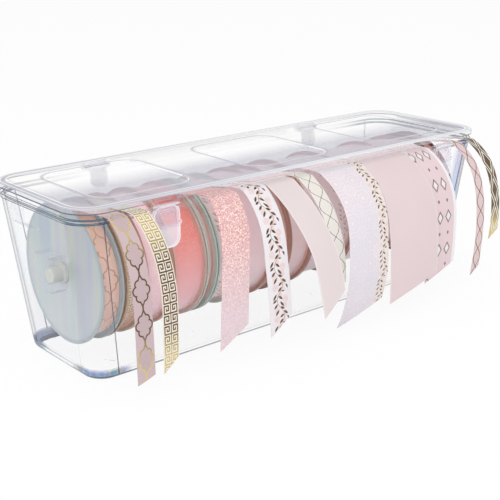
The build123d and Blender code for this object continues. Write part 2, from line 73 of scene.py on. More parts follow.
class Graph:
    """The node tree of a new material or world, built a node at a time."""

    def __init__(self, holder: bpy.types.ID) -> None:
        """Start with an empty tree.

        Args:
            holder: The material or world.
        """
        holder.use_nodes = True
        self.holder = holder
        self.nodes, self.links = holder.node_tree.nodes, holder.node_tree.links
        self.nodes.clear()

    def feed(self, socket: bpy.types.NodeSocket, value: object) -> None:
        """Link a field to a socket, or write a plain value on it.

        Args:
            socket: The input socket.
            value: A field, a number, a vector or a colour.
        """
        if isinstance(value, Field):
            self.links.new(value.socket, socket)
        else:
            socket.default_value = linear(value) if socket.type == "RGBA" else value

    def node(self, kind: str, inputs: dict[int | str, object] | None = None, output: int | str = 0,
             **settings: object) -> "Field":
        """Add a node.

        Args:
            kind: The node's type name, without ShaderNode.
            inputs: Values for its inputs, by number or name.
            output: The output to read.
            **settings: Properties of the node and their values.

        Returns:
            The output.
        """
        node = self.nodes.new(f"ShaderNode{kind}")
        for key, value in settings.items():
            setattr(node, key, value)
        for key, value in (inputs or {}).items():
            self.feed(node.inputs[key], value)
        return Field(self, node.outputs[output])

    def math(self, operation: str, *values: object, clamp: bool = False) -> "Field":
        """A Math node of up to three fields or numbers, kept from 0 to 1 where clamp says so."""
        return self.node("Math", dict(enumerate(values)), operation=operation, use_clamp=clamp)

    def mix(self, share: object, first: object, second: object) -> "Field":
        """The first colour with a share of the second, from 0 to 1."""
        return self.node("Mix", {0: share, 6: first, 7: second}, 2, data_type="RGBA")

    def ramp(self, share: "Field", stops: Sequence[tuple[float, Colour]]) -> "Field":
        """Turn a number into a colour.

        Args:
            share: The number, from 0 to 1.
            stops: Places along the ramp and their colours.

        Returns:
            The colour.
        """
        result = self.node("ValToRGB", {0: share})
        elements = result.socket.node.color_ramp.elements
        while len(elements) < len(stops):
            elements.new(0.5)
        for element, (place, colour) in zip(elements, stops):
            element.position = place
            element.color = linear(colour)
        return result

    def split(self, kind: str) -> list["Field"]:
        """The three parts of a texture coordinate: Object, Normal or UV."""
        parts = self.node("SeparateXYZ", {0: self.node("TexCoord", output=kind)}).socket.node.outputs
        return [Field(self, part) for part in parts]

    def axes(self) -> list["Field"]:
        """The three object coordinates."""
        return [part * (1 / MM) for part in self.split("Object")]

    def noise(self, scale: float, detail: float = 2.0, stretch: Triple = (1.0, 1.0, 1.0)) -> "Field":
        """Soft noise over the object, from 0 to 1.

        Args:
            scale: How fine it is, in spots on a metre.
            detail: How many finer layers it has.
            stretch: What the object coordinates are multiplied by first.

        Returns:
            The noise.
        """
        place = self.node("Mapping", {"Vector": self.node("TexCoord", output="Object"), "Scale": stretch})
        return self.node("TexNoise", {"Vector": place, "Scale": scale, "Detail": detail})

    def rays(self, *kinds: str) -> "Field":
        """1 on light rays of these kinds, and 0 on others."""
        path = self.node("LightPath").socket.node.outputs
        return union(Field(self, path[f"Is {kind} Ray"]) for kind in kinds)

    def clear_to_light(self, alpha: object, share: float) -> "Field":
        """Let a share of the light from outside straight through, as thin clear plastic does."""
        return self.math("MULTIPLY", 1.0 - self.rays("Shadow", "Diffuse") * share, alpha)

    def upright(self) -> "Field":
        """How upright the surface stands, from 0 lying flat to 1."""
        return 1.0 - self.split("Normal")[2].abs()

    def grazing(self, limit: float) -> "Field":
        """0 up to a limit of turning away from the eye, then rising to 1 edge on."""
        facing = self.node("LayerWeight", {"Blend": 0.5}, "Facing")
        return ((facing - limit) * (1.0 / (1.0 - limit))).clamp().power(EDGE_ON_POWER)

    def bump(self, height: "Field", distance: float, strength: float) -> "Field":
        """A surface normal bent by a height from 0 to 1, where 1 is a distance in metres."""
        return self.node("Bump", {"Strength": strength, "Distance": distance, "Height": height})

    def close(self, shader: "Field", kind: str = "Material") -> None:
        """Send a shader to the tree's output, of kind Material or World."""
        self.feed(self.nodes.new(f"ShaderNodeOutput{kind}").inputs["Surface"], shader)

    def surface(self, **inputs: object) -> bpy.types.Material:
        """Finish the tree with a Principled shader.

        Args:
            **inputs: Values for its sockets, with _ for each space in a name.

        Returns:
            The finished material.
        """
        named = {key.replace("_", " "): value for key, value in inputs.items()}
        self.close(self.node("BsdfPrincipled", named))
        return self.holder

    def clear_surface(self, colour: "Field", alpha: "Field", roughness: float) -> bpy.types.Material:
        """Finish the tree as clear, slightly rippled plastic.

        Args:
            colour: The colour where it shows.
            alpha: How much it shows, which is then kept from 0 to 1.
            roughness: Its roughness.

        Returns:
            The finished material.
        """
        return self.surface(Base_Color=colour, Roughness=roughness, IOR=PLASTIC_IOR,
                            Alpha=self.clear_to_light(alpha.clamp(), CLEAR_SHARE), Coat_Weight=0.3,
                            Coat_Roughness=0.03, Normal=self.bump(self.noise(60.0), 0.0004, 0.2))


@dataclass
class Field:
    """What a node gives: a number or colour that varies over a surface, or a shader."""

    graph: Graph
    socket: bpy.types.NodeSocket

    def __add__(self, other: object) -> "Field":
        """Sum."""
        return self.graph.math("ADD", self, other)

    def __sub__(self, other: object) -> "Field":
        """Difference."""
        return self.graph.math("SUBTRACT", self, other)

    def __rsub__(self, other: float) -> "Field":
        """Difference from a number."""
        return self.graph.math("SUBTRACT", other, self)

    def __mul__(self, other: object) -> "Field":
        """Product."""
        return self.graph.math("MULTIPLY", self, other)

    def abs(self) -> "Field":
        """Size without its sign."""
        return self.graph.math("ABSOLUTE", self)

    def power(self, exponent: float) -> "Field":
        """Raise to a power."""
        return self.graph.math("POWER", self, exponent)

    def clamp(self) -> "Field":
        """Keep from 0 to 1."""
        return self.graph.math("ADD", self, 0.0, clamp=True)

    def most(self, other: object) -> "Field":
        """The larger of two."""
        return self.graph.math("MAXIMUM", self, other)

    def least(self, other: object) -> "Field":
        """The smaller of two."""
        return self.graph.math("MINIMUM", self, other)

    def hypot(self, other: "Field") -> "Field":
        """Distance from 0 of a place with these two coordinates."""
        return self.graph.math("SQRT", self * self + other * other)

    def wave(self, period: float) -> "Field":
        """Cosine that repeats every period."""
        return self.graph.math("COSINE", self * (TURN / period))

    def wrap(self, period: float, middle: float = 0.0) -> "Field":
        """Repeat every period, from half a period below 0 to half above it, with 0 at middle."""
        return self.graph.math("WRAP", self - middle, period / 2, -period / 2)

    def inside(self, half: object, soft: float = 0.12) -> "Field":
        """1 where the size is under half, 0 where it is over, with a soft edge."""
        return self.graph.math("MULTIPLY_ADD", self.graph.math("SUBTRACT", half, self.abs()), 1 / soft, 0.5,
                               clamp=True)

    def over(self, limit: float, soft: float = 0.12) -> "Field":
        """1 where it is over limit, 0 where it is under, with a soft edge."""
        return self.graph.math("MULTIPLY_ADD", self - limit, 1 / soft, 0.5, clamp=True)

    def under(self, limit: float, soft: float = 0.12) -> "Field":
        """1 where it is under limit, 0 where it is over, with a soft edge."""
        return 1.0 - self.over(limit, soft)


def union(masks: Iterable[Field]) -> Field:
    """Wherever one of the masks is."""
    return reduce(Field.most, masks)


def rounded_box(x: Field, y: Field, length: float, width: float, radius: float) -> Field:
    """Distance outside a rectangle with round corners, less than 0 inside it.

    Args:
        x: Place along its length.
        y: Place along its width.
        length: Half its length.
        width: Half its width.
        radius: The radius of its corners.

    Returns:
        The distance.
    """
    over_x, over_y = x.abs() - (length - radius), y.abs() - (width - radius)
    corner = over_x.most(0.0).hypot(over_y.most(0.0))
    return corner + over_x.most(over_y).least(0.0) - radius


# ---------------------------------------------------------------- finishes


# Colours of painted pearly glints on clear plastic, then of the painted rainbow sheen on a pearly flange's
# face.
PEARL_TINTS = (
    (0.30, (0.50, 0.78, 0.84)), (0.40, (0.98, 0.93, 0.70)), (0.46, (0.72, 0.68, 0.90)),
    (0.54, (0.92, 0.94, 0.99)), (0.60, (0.55, 0.74, 0.94)), (0.70, (0.90, 0.72, 0.86)),
)
FLANGE_TINTS = (
    (0.28, (0.50, 0.56, 0.68)), (0.40, (0.70, 0.66, 0.74)), (0.48, (0.76, 0.76, 0.64)),
    (0.56, (0.58, 0.70, 0.70)), (0.66, (0.52, 0.58, 0.70)), (0.78, (0.72, 0.70, 0.74)),
)


@dataclass(frozen=True)
class Finish:
    """A finish, which is a material's name and what its nodes need."""

    name: str

    def tree(self) -> Graph:
        """The empty tree of a new material."""
        return Graph(bpy.data.materials.new(self.name))

    def build(self) -> bpy.types.Material:
        """Make the material."""
        raise NotImplementedError


@dataclass(frozen=True)
class ClearPlastic(Finish):
    """Clear moulded plastic that shows mostly where it turns away from the eye."""

    body: Colour = (0.95, 0.96, 0.99)
    edge: Colour = (0.34, 0.39, 0.50)
    least_alpha: float = 0.08
    edge_alpha: float = 0.75
    limit: float = 0.42
    roughness: float = 0.08

    def build(self) -> bpy.types.Material:
        """Make the material.

        Returns:
            The material.
        """
        g = self.tree()
        # Painted light: slate darkening edge on, and a faint painted pearly glint over the rest.
        turned = g.grazing(self.limit)
        tints = g.ramp(g.noise(6.0, stretch=(6.0, 6.0, 3.0)), PEARL_TINTS)
        colour = g.mix((turned * 2.0).clamp(), g.mix(0.2, self.body, tints), self.edge)
        return g.clear_surface(colour, turned * self.edge_alpha + self.least_alpha, self.roughness)


@dataclass(frozen=True)
class BinPlastic(Finish):
    """The bin's clear plastic, with painted dark reflection lines and painted pearly glints on its rim,
    corners and foot.

    The walls lean outwards: a slope is what they gain on each millimetre of height.
    """

    body: Colour = (0.96, 0.97, 1.0)
    edge: Colour = (0.16, 0.19, 0.31)
    teal: Colour = (0.28, 0.42, 0.48)
    deep: Colour = (0.34, 0.44, 0.60)
    base_half_length: float = 169.6
    base_half_width: float = 42.8
    slope_x: float = 0.121
    slope_y: float = 0.0954
    corner: float = 15.0
    rim_bottom: float = 105.3
    rim_top: float = 108.3
    foot_top: float = 6.5
    foot_line: float = 7.0
    sole_line: float = 1.6
    sole_depth: float = 8.0
    glint_depth: float = 9.0
    face_depth: float = 0.6
    least_alpha: float = 0.006
    roughness: float = 0.05

    def build(self) -> bpy.types.Material:
        """Make the material.

        Returns:
            The material.
        """
        g = self.tree()
        x, y, z = g.axes()
        from_end = z * self.slope_x + self.base_half_length - x.abs()
        from_side = z * self.slope_y + self.base_half_width - y.abs()
        round_corner = self.corner * 1.6
        near_corner = from_end.under(round_corner, 8.0) * from_side.under(round_corner, 8.0)
        standing = g.upright()
        upright = standing.over(0.45, 0.3)

        # The underside and the foot's curve, but not the floor inside the walls.
        sole = standing.over(0.06, 0.04)
        outer = from_end.least(from_side).under(self.sole_depth, 0.5)
        # Painted shade: a dark line along the foot's outside, stronger to the left.
        to_left = (x * -1.0).over(20.0, 220.0) * 0.4 + 0.6
        sole_line = (z - self.sole_line).inside(self.sole_line, 0.6) * sole * outer * to_left
        lines = (self.lines(z, from_end, from_side) * upright).most(sole_line)

        # Painted pearly glints: two opposite corners glint, the right one more, and the foot is tinted as
        # well.
        side_share = x.over(0.0, 1.0) * 0.30 + 0.14
        opposite = (x * y).under(0.0, 0.01)
        glinting = near_corner * opposite * from_side.under(self.glint_depth, 6.0) * side_share
        drift = g.noise(4.0, 1.0, (9.0, 9.0, 1.0))
        strength = (drift - 0.32).most(0.0) * 3.4
        foot = z.under(self.foot_top, 3.0)
        tinted = foot * sole * (near_corner * 0.90 + 0.05)
        tinted += glinting * (strength.clamp() * 0.8 + 0.35) * upright
        tints = g.ramp(g.noise(3.0, 1.0, (26.0, 26.0, 2.0)), PEARL_TINTS)
        tints = g.mix(foot * drift.over(0.38, 0.2) * 0.8, tints, self.deep)
        colour = g.mix((tinted * 3.0).clamp(), self.body, tints)

        # Painted dark lines and painted darkening edge on, in slate shading to teal.
        turned = g.grazing(0.70).most(g.grazing(0.48) * upright)
        dark = (lines * (strength * 0.3 + 0.75)).most(turned).clamp()
        ink_and_painted_lines = g.mix(drift.over(0.5, 0.15) * 0.7, self.edge, self.teal)
        colour = g.mix((dark * 1.6).clamp(), colour, ink_and_painted_lines)
        return g.clear_surface(colour, tinted + dark * 0.95 + self.least_alpha, self.roughness)

    def lines(self, z: Field, from_end: Field, from_side: Field) -> Field:
        """Painted dark reflection lines where the round corners start, along the rim and along the foot.

        Args:
            z: Height.
            from_end: Distance in from the end wall's face.
            from_side: Distance in from the front or back wall's face.

        Returns:
            The mask.
        """
        on_side, on_end = (depth.under(self.face_depth, 0.6) for depth in (from_side, from_end))
        beside = (from_end - self.corner - 2.0).inside(0.40, 0.4) * on_side
        behind = (from_side - self.corner - 1.0).inside(0.30, 0.4) * on_end * 0.4
        rim = (z - self.rim_bottom).inside(0.6, 0.4).most((z - self.rim_top + 0.3).inside(0.5, 0.4))
        near_end = from_end.under(40.0, 60.0)
        foot = (z - self.foot_line).inside(0.25, 0.4) * 0.3
        return union((beside, behind, rim * (near_end * 0.88 + 0.12), foot * (near_end * 0.7 + 0.3)))


@dataclass(frozen=True)
class FrostedPlastic(Finish):
    """The lid's plastic: a milky top with painted bright panel edges inside a greyer band, with painted
    shade beside them and over the spools.
    """

    half_length: float = 184.0
    half_width: float = 54.5
    corner: float = 20.4
    band: float = 5.0
    panel_pitch: float = 121.0
    panel_half_length: float = 36.0
    panel_half_width: float = 37.0
    panel_corner: float = 13.0
    top: float = 114.0
    bottom: float = 111.8
    spools_ahead: float = 8.0
    face: Colour = (0.985, 0.98, 0.965)
    cool: Colour = (0.97, 0.97, 0.975)
    band_colour: Colour = (0.85, 0.86, 0.88)
    bright: Colour = (1.0, 1.0, 1.0)
    shade: Colour = (0.70, 0.70, 0.745)
    over_spools: Colour = (0.69, 0.685, 0.745)
    edge: Colour = (0.24, 0.28, 0.40)
    lug: Colour = (0.93, 0.94, 0.96)

    def build(self) -> bpy.types.Material:
        """Make the material.

        Returns:
            The material.
        """
        g = self.tree()
        x, y, z = g.axes()
        inset = rounded_box(x, y, self.half_length, self.half_width, self.corner) * -1.0
        panel = rounded_box(x.wrap(self.panel_pitch), y, self.panel_half_length, self.panel_half_width,
                            self.panel_corner)
        upright = g.upright().over(0.6, 0.3)
        band = inset.under(self.band, 0.6)
        left = (x * -1.0).over(60.0, 160.0)

        # Painted highlights: bright lines inside the band, along the rim and round the panels, with painted
        # soft shade beside them.
        lines = union(((inset - self.band - 0.3).inside(0.4, 0.4), (inset - 1.6).inside(0.35, 0.4) * 0.8,
                       panel.inside(0.45, 0.5)))
        soft = ((panel - 2.0).inside(1.2, 1.6) * (1.0 - band)).most(
            (inset - self.band - 2.2).inside(0.8, 1.6) * 0.7)
        cloud = g.noise(9.0)
        # Painted shade of the spools below: the lid is greyer towards the front, where they show through.
        ahead = (y + cloud * 16.0).under(self.spools_ahead, 26.0)
        colour = g.mix(cloud, self.face, self.cool)
        colour = g.mix(panel.over(0.0, 0.6), self.bright, colour)
        colour = g.mix(ahead, colour, self.over_spools)
        colour = g.mix(soft, colour, self.shade)
        # The band is painted in shade towards the left.
        colour = g.mix(band, colour, g.mix(left, self.band_colour, self.shade))
        colour = g.mix(lines, colour, self.bright)

        # The rim's outer face has a painted dark line at its foot, stronger towards the ends, and the lid
        # is painted darker edge on.
        rim_face = upright * inset.under(2.0, 1.0)
        ends = x.abs().over(150.0, 60.0) * 0.75 + 0.25
        dark = (rim_face * (z - self.bottom).inside(0.7, 0.4) * ends).most(g.grazing(0.8) * 0.6)
        colour = g.mix(dark, colour, self.edge)

        # The lugs stand outside the rim: nearly clear in front, paler behind.
        outside = y.abs().over(self.half_width + 0.3, 0.2)
        lug_alpha = outside * (y.over(0.0, 0.2) * 0.33 + 0.07)
        colour = g.mix(outside, colour, self.lug)

        milky = band * (left * 0.22 + 0.22) + lines * 0.35 + soft * 0.35 + ahead * 0.24 + 0.42
        milky = milky * z.over(self.top, 0.3) * (1.0 - upright)
        milky = milky.most(rim_face * 0.30 * (1.0 - outside))
        alpha = (milky + dark * 0.85 + 0.02) * (1.0 - outside) + lug_alpha
        return g.surface(Base_Color=colour, Roughness=0.28, IOR=1.42, Coat_Weight=0.15, Coat_Roughness=0.08,
                         Alpha=g.clear_to_light(alpha.clamp(), FITTING_SHARE),
                         Normal=g.bump(g.noise(1500.0, 3.0), 0.00006, 0.35))


@dataclass(frozen=True)
class LatchPlastic(Finish):
    """A latch's tinted plastic, with painted bright highlight lines round it and lines across it."""

    left_x: float = -124.2
    spacing: float = 257.2
    half_width: float = 9.8
    top: float = 109.9
    length: float = 26.9
    corner: float = 6.0
    window_inset: float = 3.4
    body: Colour = (0.88, 0.81, 0.85)
    cool: Colour = (0.86, 0.84, 0.92)
    bright: Colour = (0.96, 0.97, 1.0)
    blue: Colour = (0.66, 0.68, 0.80)

    def build(self) -> bpy.types.Material:
        """Make the material.

        Returns:
            The material.
        """
        g = self.tree()
        x, _, z = g.axes()
        across = x.wrap(self.spacing, self.left_x)
        outline = rounded_box(across, z - (self.top - self.length / 2), self.half_width, self.length / 2,
                              self.corner)
        # Painted highlight along the latch's border.
        border = (outline + 0.5).inside(0.5, 0.3)
        window = (outline + self.window_inset).inside(0.25, 0.3)
        step = (z - (self.top - self.length * 0.52)).inside(0.4, 0.4) * across.inside(self.half_width - 1.0)
        marks = window.most(step)
        lower = z.under(self.top - self.length * 0.5, 3.0)
        cloud = g.noise(50.0, stretch=(1.0, 1.0, 2.0))
        colour = g.mix(cloud * 0.6, self.body, self.cool)
        colour = g.mix(border, colour, self.bright)
        colour = g.mix(lower * 0.7, colour, self.bright)
        colour = g.mix(marks * 0.6, colour, self.blue)
        alpha = (border * 0.25 + marks * 0.2 + g.grazing(0.6) * 0.4 + lower * 0.12 + 0.26).clamp()
        return g.surface(Base_Color=colour, Roughness=0.10, IOR=PLASTIC_IOR, Coat_Weight=0.4,
                         Coat_Roughness=0.03, Alpha=g.clear_to_light(alpha, FITTING_SHARE),
                         Normal=g.bump(cloud, 0.0003, 0.3))


@dataclass(frozen=True)
class Flange(Finish):
    """A spool's plastic with its tinted rim. Where it is pearly, its face has a painted rainbow sheen and
    is paler low down.
    """

    rim: Colour
    face: Colour
    pearly: float
    pale: Colour = (0.76, 0.785, 0.795)
    axis_z: float = 60.4
    rim_radius: float = 43.2
    light_through: float = 0.5

    def build(self) -> bpy.types.Material:
        """Make the material.

        Returns:
            The material.
        """
        g = self.tree()
        _, y, z = g.axes()
        height = z - self.axis_z
        radius = y.hypot(height)
        # Painted rainbow sheen on a pearly face.
        pearl = g.ramp(g.noise(1.8, stretch=(1.0, 30.0, 3.0)), FLANGE_TINTS)
        colour = g.mix(g.noise(1.1, stretch=(1.0, 12.0, 6.0)) * self.pearly, self.face, pearl)
        colour = g.mix((height * -0.009 + 0.35).clamp() * (self.pearly * 0.8), colour, self.pale)
        colour = g.mix(radius.over(self.rim_radius, 1.4), colour, self.rim)
        relief = radius.wave(1.6) * 0.15 + g.noise(900.0)
        return g.surface(Base_Color=colour, Roughness=0.34, Alpha=g.clear_to_light(1.0, self.light_through),
                         IOR=PLASTIC_IOR, Coat_Weight=0.35, Coat_Roughness=0.15,
                         Normal=g.bump(relief, 0.00004, 0.5))


@dataclass(frozen=True)
class PlainPlastic(Finish):
    """Solid moulded plastic with a fine grain."""

    colour: Colour
    shade: Colour
    roughness: float = 0.38

    def build(self) -> bpy.types.Material:
        """Make the material.

        Returns:
            The material.
        """
        g = self.tree()
        return g.surface(Base_Color=g.mix(g.noise(55.0), self.colour, self.shade), Roughness=self.roughness,
                         IOR=1.5, Normal=g.bump(g.noise(1200.0, 3.0), 0.00005, 0.5))


@dataclass(frozen=True)
class DrawnSteel(Finish):
    """Plain wire with fine drawing lines along it."""

    dark: Colour = (0.86, 0.86, 0.88)
    light: Colour = (0.96, 0.96, 0.97)

    def build(self) -> bpy.types.Material:
        """Make the material.

        Returns:
            The material.
        """
        g = self.tree()
        lines = g.noise(2.0, stretch=(20.0, 900.0, 900.0))
        return g.surface(Base_Color=g.mix(lines, self.dark, self.light), Metallic=1.0,
                         Roughness=lines * 0.2 + 0.3, Normal=g.bump(lines, 0.00002, 0.4))


# ---------------------------------------------------------------- printed ribbons


@dataclass(frozen=True)
class Print:
    """What is printed on a ribbon: its colour, and where the print is foil."""

    colour: Field
    foil: Field | None = None


@dataclass(frozen=True)
class RibbonArt:
    """A ribbon's width and colours, the size of its pattern, and the heights above and below which its foil
    carries a painted pale gold glint.
    """

    width: float
    ground: Colour
    ink: Colour
    accent: Colour = (0.9, 0.9, 0.9)
    period: float = 18.0
    line: float = 0.35
    glint_above: float = 92.0
    glint_below: float = 34.0


class Artwork(Enum):
    """The patterns that the ribbons carry, each the name of the printer's method for it."""

    QUATREFOIL = "quatrefoil"
    CROSSING_WAVES = "crossing_waves"
    GREEK_KEY = "greek_key"
    GLITTER = "glitter"
    SPRIGS = "sprigs"
    DOILY = "doily"
    BANDED_DOILY = "banded_doily"
    LOZENGES = "lozenges"
    CROSSED_LOZENGES = "crossed_lozenges"
    PLAIN = "plain_weave"


# Middle across and along, and radius, on a ribbon of the width below.
QUATREFOIL_LOBES = ((2.9, 0.0, 2.9), (1.5, 3.9, 2.5))
QUATREFOIL_WIDTH = 12.7
QUATREFOIL_START = 9.55
# The key's cell, and the left, right, lower and upper sides of its strokes.
KEY_CELL = (8.2, 8.0)
KEY_STROKES = (
    (0.0, 0.5, -4.0, 4.0), (0.0, 7.2, 2.6, 3.8), (1.6, 7.2, -3.4, -2.2), (6.0, 7.2, -3.4, 3.8),
    (1.6, 2.8, -3.4, 1.4), (1.6, 4.9, 0.2, 1.4), (3.9, 4.9, -1.2, 1.4),
)
# Place along the pattern's period, and across as a share of half the ribbon's width.
SPRIG_BLOSSOMS = (
    (-0.40, -0.08), (-0.26, 0.44), (-0.06, 0.30), (0.06, -0.34), (0.20, 0.34), (0.34, -0.40), (0.44, 0.2),
)
SPRIG_LEAVES = 12
SPRIG_WIDTH = 19.0
GLINT_FOIL: Colour = (0.83, 0.75, 0.52)
GRAINS_PER_MM = 1.9
GLITTER_LOW: Colour = (0.845, 0.765, 0.785)
GLITTER_LOW_DEEP: Colour = (0.80, 0.71, 0.74)
LOZENGE_PITCH = 9.4
LOZENGE_START = 5.4
LOZENGE_BORDER: Colour = (0.90, 0.89, 0.90)
LOZENGE_HEART: Colour = (0.90, 0.87, 0.87)


def bar(u: Field, v: Field, left: float, right: float, low: float, high: float) -> Field:
    """A filled rectangle, from its left, right, lower and upper sides."""
    wide = (u - (left + right) / 2).inside((right - left) / 2, 0.1)
    return wide * (v - (low + high) / 2).inside((high - low) / 2, 0.1)


def leaf(u: Field, v: Field, angle: float, length: float, width: float) -> Field:
    """A pointed leaf.

    Args:
        u: Place across the ribbon, from the leaf's middle.
        v: Place along the ribbon, from the leaf's middle.
        angle: Its lean from the across direction, in degrees.
        length: Half its length.
        width: Half its width.

    Returns:
        The mask.
    """
    lean = math.radians(angle)
    run, rise = u * math.cos(lean) + v * math.sin(lean), v * math.cos(lean) - u * math.sin(lean)
    return rise.inside((1.0 - (run * (1 / length)).power(2.0)) * width, 0.16)


def rosette(u: Field, v: Field, radius: float) -> Field:
    """A round lace motif: two scalloped rings about a dot.

    Args:
        u: Place across the ribbon, from its middle.
        v: Place along the ribbon, from its middle.
        radius: Its radius.

    Returns:
        The mask.
    """
    distance = u.hypot(v)
    scallop = u.graph.math("COSINE", u.graph.math("ARCTAN2", v, u) * 8.0) * (radius * 0.08)
    outer = (distance - radius + scallop).inside(0.35, 0.4)
    inner = (distance - radius * 0.58 - scallop).inside(0.3, 0.4)
    return union((outer, inner, distance.inside(radius * 0.22, 0.4)))


@dataclass(frozen=True)
class Printer:
    """Prints a ribbon's artwork, from the places across and along it."""

    g: Graph
    across: Field
    along: Field
    art: RibbonArt

    def ink_and_painted_lines(self, ink: Field, ground: object, colour: object) -> Print:
        """A ground with foil ink on it."""
        return Print(self.g.mix(ink, ground, colour), ink)

    def foil_glint(self) -> Field:
        """Foil painted dark over most of a tail, as painted shade, and pale gold near its ends, as a
        painted glint.

        Returns:
            The colour.
        """
        height = self.g.axes()[2]
        # Painted glint: pale gold above and below the given heights, with the ink's painted shade between.
        glint_share = height.over(self.art.glint_above, 16.0).most(height.under(self.art.glint_below, 16.0))
        return self.g.mix(glint_share, self.art.ink, GLINT_FOIL)

    def quatrefoil(self) -> Print:
        """A chain of four-lobed windows, the old trellis pattern.

        Returns:
            The print.
        """
        unit, line = self.art.width / QUATREFOIL_WIDTH, self.art.line
        aside, far = self.across.abs(), self.along.wrap(self.art.period, QUATREFOIL_START).abs()
        side, end = ((aside - u * unit).hypot(far - v * unit) - radius * unit
                     for u, v, radius in QUATREFOIL_LOBES)
        tip = (aside - (9.4 * unit - far) * 0.5) * 0.9
        outline = side.least(end).least(tip)
        stem = aside.inside(line * 1.15) * far.over(9.2 * unit, 0.2)
        ground = self.g.mix(outline.under(0.0) * 0.5, self.art.ground, self.art.accent)
        return self.ink_and_painted_lines(outline.inside(line).most(stem), ground, self.foil_glint())

    def crossing_waves(self) -> Print:
        """Two thin waved lines that cross in a row of pointed windows.

        Returns:
            The print.
        """
        art = self.art
        swing = self.g.math("SINE", self.along * (math.pi / art.period)).abs()
        outline = (swing * 0.92 + swing.power(2.0) * 0.16) * (art.width * 0.40)
        jag = self.along.wave(art.period / 5) * 0.25
        lines = (self.across.abs() - outline - jag * swing).inside(art.line)
        links = self.across.hypot(self.along.wrap(art.period)).inside(art.line * 1.8, 0.16)
        ground = self.g.mix(self.g.noise(30.0) * 0.5, art.ground, art.accent)
        return self.ink_and_painted_lines(lines.most(links), ground, art.ink)

    def greek_key(self) -> Print:
        """Two mirrored columns of the Greek key, either side of a middle line.

        Returns:
            The print.
        """
        u = self.across.abs() * (2 * KEY_CELL[0] / self.art.width)
        v = self.along.wrap(self.art.period) * (KEY_CELL[1] / self.art.period)
        key = union(bar(u, v, *sides) for sides in KEY_STROKES)
        return self.ink_and_painted_lines(key, self.art.ground, self.foil_glint())

    def glitter(self) -> Print:
        """Fine glitter, each grain with its own tone, and painted glints on the brightest grains, stronger
        high up.

        Returns:
            The print.
        """
        g = self.g
        place = g.node("CombineXYZ", {0: self.across, 1: self.along})
        grains = g.node("TexVoronoi", {"Vector": place, "Scale": GRAINS_PER_MM}, "Color", feature="F1")
        lot = g.node("SeparateColor", {0: grains})
        high = g.axes()[2].over(62.0, 50.0)
        ground = g.mix(high, GLITTER_LOW, self.art.ground)
        deep = g.mix(high, GLITTER_LOW_DEEP, self.art.accent)
        # Painted glints: the brightest grains, stronger above 62 mm.
        bright = lot.over(0.74, 0.05) * (high * 0.75 + 0.25)
        colour = g.mix(bright, g.mix(lot.over(0.3, 0.2), deep, ground), self.art.ink)
        return Print(colour, bright * 0.5)

    def sprigs(self) -> Print:
        """A winding stem with pointed leaves and small speckled blossoms, between plain borders.

        Returns:
            The print.
        """
        g, across, period = self.g, self.across, self.art.period
        v = self.along.wrap(period)
        reach, unit = self.art.width / 2, self.art.width / SPRIG_WIDTH
        swing = reach * 0.30
        green = [(across - g.math("SINE", self.along * (TURN / period)) * swing).inside(0.15 * unit)]
        for step in range(SPRIG_LEAVES):
            place, side, third = step / SPRIG_LEAVES - 0.46, 1 if step % 2 else -1, step % 3
            far = (2.1 if third else 3.9) * unit
            u = across - (math.sin(TURN * place) * swing + side * far)
            green.append(leaf(u, v - (place * period + 0.5 * far), 90 - side * (38 + 11 * third),
                              (2.5 - 0.3 * third) * unit, 0.80 * unit))
        blooms = union((across - side * reach).hypot(v - place * period).inside(2.4 * unit, 0.16)
                       for place, side in SPRIG_BLOSSOMS)
        specks = g.noise(1100.0, 1.0).over(0.50, 0.08) * 0.6 + 0.4
        field_mask = across.inside(reach * 0.72, 0.4)
        blush = g.mix(blooms * specks * field_mask * 0.6, self.art.ground, self.art.accent)
        return self.ink_and_painted_lines(union(green) * field_mask, blush, self.art.ink)

    def doily(self) -> Print:
        """Staggered scalloped rounds that fade in and out over the ribbon.

        Returns:
            The print.
        """
        g, period = self.g, self.art.period
        large = rosette(self.across.wrap(period), self.along.wrap(period), period * 0.42)
        between = (place.wrap(period, period / 2) for place in (self.across, self.along))
        small = rosette(*between, period * 0.26)
        patches = ((g.noise(26.0) - 0.5) * 2.8 + 0.5).clamp()
        ground = g.mix(patches, self.art.ground, self.art.ink)
        return Print(g.mix(large.most(small) * (1.0 - patches * 0.75), ground, self.art.accent))

    def banded_doily(self) -> Print:
        """A doily print with a band of gold sprigs along its right edge.

        Returns:
            The print.
        """
        start = self.art.width * 0.24
        middle = (start + self.art.width / 2) / 2
        band = replace(self, across=self.across - middle, art=SPRIG_BAND).sprigs()
        in_band = self.across.over(start, 0.3)
        return Print(self.g.mix(in_band, self.doily().colour, band.colour), band.foil * in_band)

    def lozenges(self) -> Print:
        """Three columns of outlined lozenges with small ones between, inside pale borders.

        Returns:
            The print.
        """
        g, across, half, period = self.g, self.across, self.art.width / 2, self.art.period
        column = across.wrap(LOZENGE_PITCH, LOZENGE_START).abs()
        large = column * 1.49 + self.along.wrap(period).abs()
        small = column * 1.5 + self.along.wrap(period, period / 2).abs()
        patterned = (across + 2.4).inside(12.4, 0.3)
        ink = (large - 4.6).inside(0.80).most(small.inside(1.7)) * patterned
        ruled = ((across + half - 1.5).abs() - 0.5).inside(0.12)
        ground = g.mix((across + 0.6).inside(half - 2.6, 0.3), LOZENGE_BORDER, self.art.ground)
        ground = g.mix(large.inside(3.3) * patterned, ground, LOZENGE_HEART)
        return Print(g.mix(ink.most(ruled * 0.7), ground, self.art.ink))

